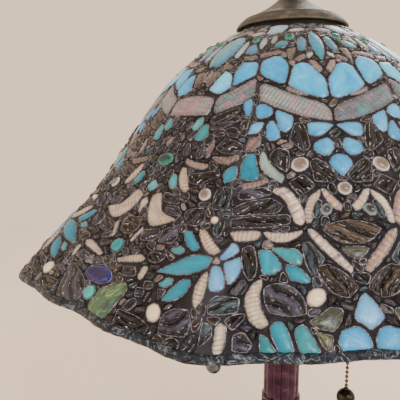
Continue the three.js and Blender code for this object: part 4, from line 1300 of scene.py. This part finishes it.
# name, dark, base, bright, (least, most roughness), metallic, scale, bump, wear
BRONZE = metal("bronze_patina", "#190c19", "#3d2236", "#70546a", (0.2, 0.38), 0.78, 70.0, 0.0003, 0.6)
CAP_BRONZE = metal("cap_bronze", "#19171a", "#363534", "#7c765c", (0.4, 0.62), 0.5, 80.0, 0.0004, 0.7)
BRASS = metal("aged_brass", "#4a3518", "#8f6f38", "#c9a866", (0.25, 0.45), 0.9, 110.0, 0.0001, 0.4)
DARK_BRASS = metal("darkened_brass", "#070605", "#17120d", "#453621", (0.4, 0.6), 0.7, 110.0, 0.0001, 0.4)
CHAIN_METAL = metal("chain_bronze", "#1c1610", "#463a2a", "#8c7a5c", (0.25, 0.45), 0.85, 200.0, 0.0001, 0.5)
PEWTER = metal("ball_pewter", "#23262a", "#5a6066", "#a9b0b6", (0.15, 0.3), 0.95, 120.0, 0.0001, 0.5)
BALL_BRONZE = metal("ball_bronze", "#0b0907", "#282219", "#5d5340", (0.16, 0.32), 0.85, 120.0, 0.0001, 0.5)
STEEL = metal("zinc_steel", "#5d6063", "#8d9092", "#c3c6c8", (0.25, 0.42), 0.95, 120.0, 0.0001, 0.3)
IRON = metal("sand_cast_iron", "#151517", "#2b2c2f", "#4c4d50", (0.6, 0.85), 0.6, 160.0, 0.0006, 0.3)


def glaze(name, base, second, rough, scale, bump=0.0001, **extra):
    """A non-metal surface with a fine grain and a slight change of tone."""
    n = Nodes(name)
    where = n.node("TexCoord").outputs["Object"]
    grain = n.noise(where, scale, 4, 0.65)
    colour = n.ramp(grain, [(0.3, second), (0.7, base)])
    return n.shade(Base_Color=colour, Roughness=n.ramp(grain, [(0.3, rough), (0.7, min(rough + 0.12, 1.0))]),
                   Normal=n.bump(n.noise(where, scale * 6, 3), bump * 4, 0.5), **extra)


PORCELAIN = glaze("porcelain", "#e8e3d6", "#d6cfbf", 0.22, 60, Coat_Weight=0.5)
CARD = glaze("pressed_card", "#8a7353", "#6b563a", 0.85, 500, 0.0002)
RUBBER = glaze("black_rubber", "#1d1d1e", "#111112", 0.6, 300)
FELT = glaze("green_felt", "#3b4f3e", "#253528", 0.95, 900, 0.0005, Sheen_Weight=0.5)
FROSTED = glaze("frosted_bulb", "#f4f0e6", "#e9e3d4", 0.35, 40, Coat_Weight=0.2, Subsurface_Weight=0.2)
# painted shade: near-black balls stand for the dark hollows under the stem's arches
PAINTED_ARCH_SHADE = glaze("arch_painted_shade", "#0b0808", "#050404", 0.9, 300)

SIDES = ("left", "right")
CARRIED = [
    (STEEL, ["foot_washer", "foot_locknut", "lamp_rod", "riser_locknut", "finial_stud", "bulb_contact_left",
             "bulb_contact_right"]),
    (IRON, ["base_weight"]),
    (BRASS, ["shade_spider", "riser_tube", "finial_insert", "socket_screw_shell_left",
             "socket_screw_shell_right"]),
    (RUBBER, ["cord_bushing"]),
    (PORCELAIN, ["socket_base_left", "socket_base_right"]),
    (CARD, ["socket_sleeve_left", "socket_sleeve_right"]),
]


def dress_carried_nodes():
    """Better materials for the CAD nodes whose shape is already right."""
    for material, nodes in CARRIED:
        for node in nodes:
            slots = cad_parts[node].data.materials
            slots.clear()
            slots.append(material)


REEDS = 12
REED_DEPTH, REED_SHARPNESS = 1.3, 0.62
ROD_BORE, STEM_BORE = 5.05, 8.0
STEM_R = 17.5


def reeds(rise_from=-math.inf):
    """Round reeds with narrow valleys between them, cut into the stem's outside from a height upwards."""
    def shape(r, a, z):
        valley = 1 - np.abs(np.sin(REEDS * a / 2)) ** REED_SHARPNESS
        return np.where(r > 12, r - REED_DEPTH * valley * np.clip((z - rise_from) / 6, 0, 1), r)
    return shape


def build_foot():
    low, high = box_mm("base_foot")
    foot_r, z0, z1 = high[0], low[2], high[2]
    profile = [(foot_r - 0.4, z0), (foot_r, z0 + 1), (foot_r, z0 + 3.2), (foot_r - 1, z0 + 4.6)]
    profile += soft(5, (85.6, z0 + 6.6), (84.6, z0 + 9.2), (78, 13.6), (68, 17.1), (56, 20.2), (44, 25),
                    (34, 31.2), (29.4, 35.4), (27.6, z1 - 2.2), (27, z1))
    profile += [(ROD_BORE, z1), (ROD_BORE, 34.5)]
    profile += soft(4, (26, 34.4), (38, 23), (58, 15.5), (74, 11.2), (82.6, 6.5)) + [(83, z0)]

    def petals(r, a, z):
        """Twelve petals on the dome of the foot, with a vein down the middle of each."""
        valley = 1 - np.abs(np.sin(REEDS * a / 2)) ** 0.55
        vein = np.exp(-(np.cos(REEDS * a / 2) / 0.10) ** 2)
        on_dome = np.clip((r - 32) / 14, 0, 1) * np.clip((86 - r) / 4, 0, 1) * (z > 14)
        return r - on_dome * (2.4 * valley + 0.5 * vein)

    beads = ball_ring(96, foot_r - 4.4, z0 + 7.6, 1.5)
    part("foot", "root", "base_foot", "bronze_patina", [spun(profile, 240, petals), *beads], BRONZE)

    (_, _, z0), (felt_r, _, z1) = box_mm("felt_ring")
    felt = [(40, z0), (felt_r, z0), (felt_r, z1 - 0.3), (felt_r - 0.5, z1), (40.5, z1), (40, z1 - 0.3)]
    part("felt_pad", "root", "felt_ring", "felt", [spun(felt, 128)], FELT)


def build_flare():
    """The foot of the stem, with the reeds running out over it and a ring of beads round it."""
    z0, tall = span("stem_flare")
    flare = lathe(z0, (STEM_BORE, 0), (29.4, 0), (30.6, 1), (30.6, 2.6), (29, 3.8),
                  soft(6, (28.6, 5), (26, 10), (22.4, 18), (19.9, 32), (18.4, 58), (STEM_R, tall - 8)),
                  (STEM_R, tall), (STEM_BORE, tall))
    beads = ball_ring(36, 29.6, z0 + 4.4, 1.3)
    part("stem_foot", "root", "stem_flare", "bronze_patina",
         [spun(flare, 288, reeds(z0 + 4)), *beads], BRONZE)


def build_ornament():
    """The band on the stem: an arcade of twelve arches, each with a near-black ball as painted shade for its
    hollow, between two mouldings.
    """
    z0, tall = span("stem_ornament")
    half = tall / 2
    band = lathe(z0, (STEM_BORE, 0), soft(4, (17.6, 0), (18.9, 1.5), (17.8, 3), (17, 4)),
                 soft(4, (17, 4.4), (18, half - 3), (18.2, half), (18, half + 3), (17, tall - 4.4)),
                 soft(4, (17.8, tall - 3), (18.9, tall - 1.5), (17.6, tall)), (STEM_BORE, tall))
    solids = [spun(band, 192)]
    for i in range(REEDS):
        turn = TAU * (i + 0.5) / REEDS
        face = np.array([math.cos(turn), math.sin(turn), 0])
        level = np.array([-math.sin(turn), math.cos(turn), 0])
        spring = face * 18.1 + [0, 0, z0 + half + 1.5]
        solids.append(arch(spring, 3.3, 0.85, turn))
        solids += [ball(spring + side * 3.3 * level - [0, 0, 3.4], 0.9, 10, 7, 4.2) for side in (-1, 1)]
        # a near-black ball in each arch as painted shade for its hollow
        solids.append((*ball(face * 18.3 + [0, 0, z0 + half - 1.2], 1.45, 10, 7, 1.8), 1))
    for z in (z0 + 5.4, z0 + tall - 5.4):
        solids += ball_ring(REEDS, 18, z, 1.1, 10, 7)
    part("stem_band", "root", "stem_ornament", "bronze_patina", solids, BRONZE, PAINTED_ARCH_SHADE)


def build_column():
    """The reeded column and the collar that closes its top."""
    z0, tall = span("stem_column")
    column = lathe(z0, (STEM_BORE, 0), (17.1, 0), (STEM_R, 0.6),
                   [(STEM_R, z) for z in np.linspace(2, tall - 2, 24)],
                   (STEM_R, tall - 0.6), (17.1, tall), (STEM_BORE, tall))
    part("column", "root", "stem_column", "bronze_patina", [spun(column, 288, reeds())], BRONZE)

    z0, tall = span("stem_collar")
    collar = lathe(z0, (ROD_BORE, 0), (20, 0), soft(5, (20.6, 0.6), (21.5, 2), (20.6, 3.6), (17.6, 5)),
                   soft(4, (17, 5.8), (16.4, 8.2), (16.9, 9.8), (16, tall - 0.5)),
                   (15.4, tall), (ROD_BORE, tall))
    part("collar", "root", "stem_collar", "bronze_patina", [spun(collar, 128)], BRONZE)


def build_cluster():
    z0, tall = span("cluster_hub")
    hub = lathe(z0, (ROD_BORE, 0), (11.4, 0), soft(4, (12, 0.6), (14.2, 3.6), (15, 6)),
                soft(4, (15, 12), (14.3, 12.8), (15, 13.6), (15, 19.4)),
                soft(4, (14.2, 21.6), (11, 24.4), (10, 27.3)),
                (9.6, tall), (6.5, tall), (6.5, 21), (ROD_BORE, 21))
    part("hub", "root", "cluster_hub", "aged_brass", [spun(hub)], BRASS)
    top = lathe(span("shade_top_ring")[0], (35, 0), (42.1, 0), (42.7, 0.8), (43.2, 7.6), (42.8, 8), (42, 8),
                (41.3, 1.8), (40.8, 1.5), (35, 1.5))
    part("top_ring", "shade", "shade_top_ring", "aged_brass", [spun(top, 128)], DARK_BRASS)


SHELL_R, SHELL_BORE = 16.3, 15.5
BULB_R = 30.0
TIP_R = 0.05                        # left open on the bulb's axis, so that its wall is one closed ring


def build_lampholder(side):
    axis = middle_of(f"socket_shell_{side}") * [1, 1, 0]

    def fit(name, node, solid, material=BRASS, body="root", slot="aged_brass"):
        part(f"{name}_{side}", body, f"{node}_{side}", slot, [solid], material)

    z0, _ = span(f"socket_cap_{side}")
    t = np.linspace(0, 1, 25)[:, None]
    reach = np.hypot(axis[0], axis[1])
    a, b, c, d = np.array([(15.3, RIM_Z - 4), (37, RIM_Z - 4), (reach, RIM_Z - 22), (reach, z0 - 0.3)])
    out, up = ((1 - t) ** 3 * a + 3 * (1 - t) ** 2 * t * b + 3 * (1 - t) * t ** 2 * c + t ** 3 * d).T
    arm = np.stack([out * axis[0] / reach, out * axis[1] / reach, up], -1)
    fit("arm", "cluster_arm", swept(arm, 4.2))

    cap = lathe(z0, (4.4, 0), (7.6, 0), soft(4, (8.1, 0.5), (9.6, 3), (13, 5.8), (15.4, 9), (17, 13)),
                (17, 15), soft(3, (17, 15.4), (16.5, 16), (17, 16.6)), (17, 18),
                (16, 18), (16, 13.4), (14.4, 9.8), (8.6, 4), (4.4, 1.2))
    fit("holder_cap", "socket_cap", moved(spun(cap), axis))

    grooves = [soft(3, (SHELL_R, z), (SHELL_R - 0.5, z + 1.2), (SHELL_R, z + 2.4)) for z in (21, 24, 27)]
    shell = lathe(z0, (SHELL_BORE, 18.3), (SHELL_R, 18.3), *grooves,
                  [(SHELL_R, z) for z in (34, 40, 46, 52)],
                  soft(4, (SHELL_R, 56), (SHELL_R + 0.7, 57.2), (SHELL_R, 58)),
                  [(SHELL_BORE, z) for z in (58, 52, 46, 40, 34, 26)])
    fit("holder_shell", "socket_shell", moved(spun(shell), axis))

    middle = middle_of(f"chain_mouth_{side}")
    facing = math.atan2(middle[1] - axis[1], middle[0] - axis[0])
    bell = lathe(0, (2.4, 16.6), (4.2, 16.6), soft(4, (4.1, 16.9), (3.2, 17.9), (3.1, 18.7), (4, 19.9)),
                 (2.7, 19.9))
    points, faces = spun(bell, 48)
    points = points @ np.array([[0, 0, -1], [0, 1, 0], [1, 0, 0]])
    points = points @ np.array(Matrix.Rotation(-facing, 3, "Z"))
    fit("mouth", "chain_mouth", (points + axis + [0, 0, middle[2]], faces))

    z0, tall = span(f"bulb_base_{side}")
    thread = [(13.1 - 0.7 * (0.5 - 0.5 * math.cos(TAU * i / 6)), 7 + i * 0.6) for i in range(25)]
    screw = lathe(z0, (4.4, 0), soft(3, (5.4, 0.5), (9, 2.8), (12.4, 4.8)), thread,
                  (13.1, tall), (12.3, tall), (12, tall - 8), (12, 6), (8.6, 3.8), (4.4, 1))
    fit("bulb_cap", "bulb_base", moved(spun(screw, 72), axis), STEEL, f"bulb_{side}", "steel")

    z0, tall = span(f"bulb_glass_{side}")
    centre = tall - BULB_R
    angles = np.linspace(-0.2, 0.485 * math.pi, 22)
    arc = [(BULB_R * math.cos(a), centre + BULB_R * math.sin(a)) for a in angles]
    path = soft(5, (12.6, 0), (13, 6), (16, 19), (22.5, 33.6), arc[0])[:-1] + arc
    path += [(TIP_R, tall), (TIP_R, tall - 1)]
    path += [(r - r / BULB_R, z - (z - centre) / BULB_R) for r, z in reversed(arc)]
    path += soft(4, (21.5, 34.2), (15, 19.3), (12, 6), (11.6, 0))
    fit("bulb_envelope", "bulb_glass", moved(spun(lathe(z0, path), 72), axis), FROSTED, f"bulb_{side}",
        "bulb_glass")


BEAD_R, BEAD_PITCH = 1.6, 4.2
BALL_R = 8.0


def bead_string(place, top, count):
    """Hollow bead chain: beads joined by short wires."""
    wire = [(0, 1.3), (0.45, 1.3), (0.4, BEAD_PITCH / 2), (0.45, BEAD_PITCH - 1.3), (0, BEAD_PITCH - 1.3)]
    centres = [place + [0, 0, top - (i + 0.5) * BEAD_PITCH] for i in range(count)]
    return [ball(centre, BEAD_R, 16, 10) for centre in centres] + [
        moved(spun(wire, 8), centre) for centre in centres[1:]]


def build_chain(side):
    for length, body, count in (("upper", "chain", 15), ("lower", "drop", 18)):
        node = f"chain_{length}_{side}"
        beads = bead_string(middle_of(node) * [1, 1, 0], box_mm(node)[1][2], count)
        part(f"beads_{length}_{side}", f"{body}_{side}", node, "aged_brass", beads, CHAIN_METAL,
             smooth_angle=60)
    node = f"chain_anchor_{side}"
    anchor = ball(middle_of(node), span(node)[1] / 2, 20, 12)
    part(f"anchor_bead_{side}", f"pull_{side}", node, "aged_brass", [anchor], CHAIN_METAL, smooth_angle=60)

    node = f"chain_coupler_{side}"
    z0, tall = span(node)
    curve = soft(4, (1.4, 0.2), (2.1, 1.6), (2.1, 3.4), (1.75, 4.5), (2.1, tall - 3.4), (2.1, tall - 1.6),
                 (1.4, tall - 0.2))
    sleeve = spun(lathe(z0, (0, 0), (1, 0), curve, (1, tall), (0, tall)), 32)
    part(f"coupling_{side}", f"chain_{side}", node, "aged_brass",
         [moved(sleeve, middle_of(node) * [1, 1, 0])], CHAIN_METAL, smooth_angle=60)

    node = f"pull_ball_{side}"
    z0, tall = span(node)
    angles = np.linspace(math.asin(2.6 / BALL_R), math.pi - 0.02, 36)
    knob = lathe(z0, (0, tall), (1.5, tall), soft(3, (2.1, tall - 0.2), (2.2, tall - 0.8), (2, tall - 1.2)),
                 [(BALL_R * math.sin(a), BALL_R * (1 + math.cos(a))) for a in angles], (0, 0))
    part(f"ball_{side}", f"drop_{side}", node, "bronze_patina",
         [moved(spun(knob, 64), middle_of(node) * [1, 1, 0])], PEWTER if side == "left" else BALL_BRONZE,
         smooth_angle=60)


def build_top():
    low, high = box_mm("vented_cap")
    cap_r, z0, tall = high[0], low[2], high[2] - low[2]
    t = np.linspace(0, 1, 24)[:, None]
    flare = (1 - t) ** 2 * [cap_r - 6.6, 8.5] + 2 * (1 - t) * t * [19, 16.8] + t ** 2 * [8.4, tall - 7]
    cap = lathe(z0, soft(4, (cap_r - 0.9, 0), (cap_r - 0.1, 0.7), (cap_r - 0.5, 2.2), (cap_r - 2.8, 5.2),
                         (cap_r - 5.4, 7.4), (cap_r - 6, 8)),
                [tuple(p) for p in flare],
                soft(4, (8.3, tall - 6.4), (9.3, tall - 5), (8.3, tall - 3.6), (7.6, tall - 3),
                     (7.8, tall - 1.6), (7, tall)),
                (3.6, tall), (3.6, tall - 2.8), [(r - 0.7, z - 1.2) for r, z in flare[::-1]],
                (cap_r - 4, 4), (cap_r - 2.1, 1.4), (cap_r - 2.1, 0))
    part("cap", "shade", "vented_cap", "cap_bronze", [spun(cap, 192)], CAP_BRONZE)

    seat, tall = span("finial_knob")
    egg = lathe(seat, (0, 13), (5.5, 13), (5.5, 0), (7.2, 0),
                soft(4, (7.7, 0.3), (8.2, 1.4), (7.2, 2.6), (6.2, 3.4), (5.9, 5), (6.6, 6), (5.8, 7),
                     (5.7, 10)),
                soft(6, (6.6, 12.4), (9.4, 18), (11, 26), (10.4, 32), (7.6, 38), (3.6, 41.6), (1.7, 43.4),
                     (1.2, tall - 0.8)), (0, tall))

    def flutes(r, a, z):
        """A slow spiral of flutes over the egg."""
        up = z - seat
        on = np.clip((up - 13) / 6, 0, 1) * np.clip((tall - 5 - up) / 6, 0, 1) * (r > 5.6)
        return r - on * 0.55 * (0.5 - 0.5 * np.cos(10 * a + up * 0.09)) ** 2

    part("finial_egg", "finial", "finial_knob", "bronze_patina", [spun(egg, 160, flutes)], BRONZE)


build_shade()
build_rim()
build_top()
build_flare()
build_ornament()
build_column()
build_foot()
build_cluster()
for side in SIDES:
    build_lampholder(side)
    build_chain(side)
dress_carried_nodes()


# ---- Studio ----
WORLD_COLOUR = srgb("#ffe0c2")
WORLD_STRENGTH = 1.35
FLOOR_R = 3.0


def area_light(name, place, target_z, size, power, colour):
    data = bpy.data.lights.new(name, "AREA")
    data.shape = "RECTANGLE"
    data.size, data.size_y = size
    data.energy = power
    data.color = colour
    light = bpy.data.objects.new(name, data)
    bpy.context.scene.collection.objects.link(light)
    light.location = place
    light.rotation_euler = (Vector((0, 0, target_z)) - Vector(place)).to_track_quat("-Z", "Y").to_euler()


def build_studio():
    world = bpy.data.worlds.new("studio")
    bpy.context.scene.world = world
    world.use_nodes = True
    background = world.node_tree.nodes["Background"]
    background.inputs[0].default_value = WORLD_COLOUR
    background.inputs[1].default_value = WORLD_STRENGTH
    area_light("key", (1.0, -1.3, 1.5), 0.4, (0.6, 0.6), 22, (0.8, 0.9, 1))
    area_light("window", (1.5, -0.9, 0.75), 0.45, (0.25, 0.5), 7, (0.85, 0.93, 1))
    area_light("fill", (-1.5, -0.9, 0.9), 0.4, (1.2, 1.2), 8, (0.65, 0.82, 1))
    area_light("back", (0.4, 1.5, 1.4), 0.4, (1.0, 0.7), 14, (0.9, 0.95, 1))
    floor = Nodes("floor")
    where = floor.node("TexCoord").outputs["Object"]
    tone = floor.ramp(floor.noise(where, 3, 3), [(0.3, "#f3e3d2"), (0.7, "#f8ebdc")])
    reach = floor.node("VectorMath", {"operation": "LENGTH"}, i0=where).outputs["Value"]
    far = floor.ramp(floor.math("DIVIDE", reach, FLOOR_R), [(0.15, 0.0), (0.8, 1.0)])
    floor.shade(Base_Color=floor.mix(far, tone, "#000000"), Roughness=0.85, Specular_IOR_Level=0.0,
                Emission_Color=WORLD_COLOUR, Emission_Strength=floor.math("MULTIPLY", far, WORLD_STRENGTH))
    turn = np.arange(64) * TAU / 64
    rim = np.stack([FLOOR_R * np.cos(turn), FLOOR_R * np.sin(turn), np.zeros(64)], -1)
    mesh = bpy.data.meshes.new("floor")
    mesh.from_pydata(rim.tolist(), [], [list(range(64))])
    mesh.materials.append(floor.material)
    ground = bpy.data.objects.new("floor", mesh)
    bpy.context.scene.collection.objects.link(ground)


build_studio()
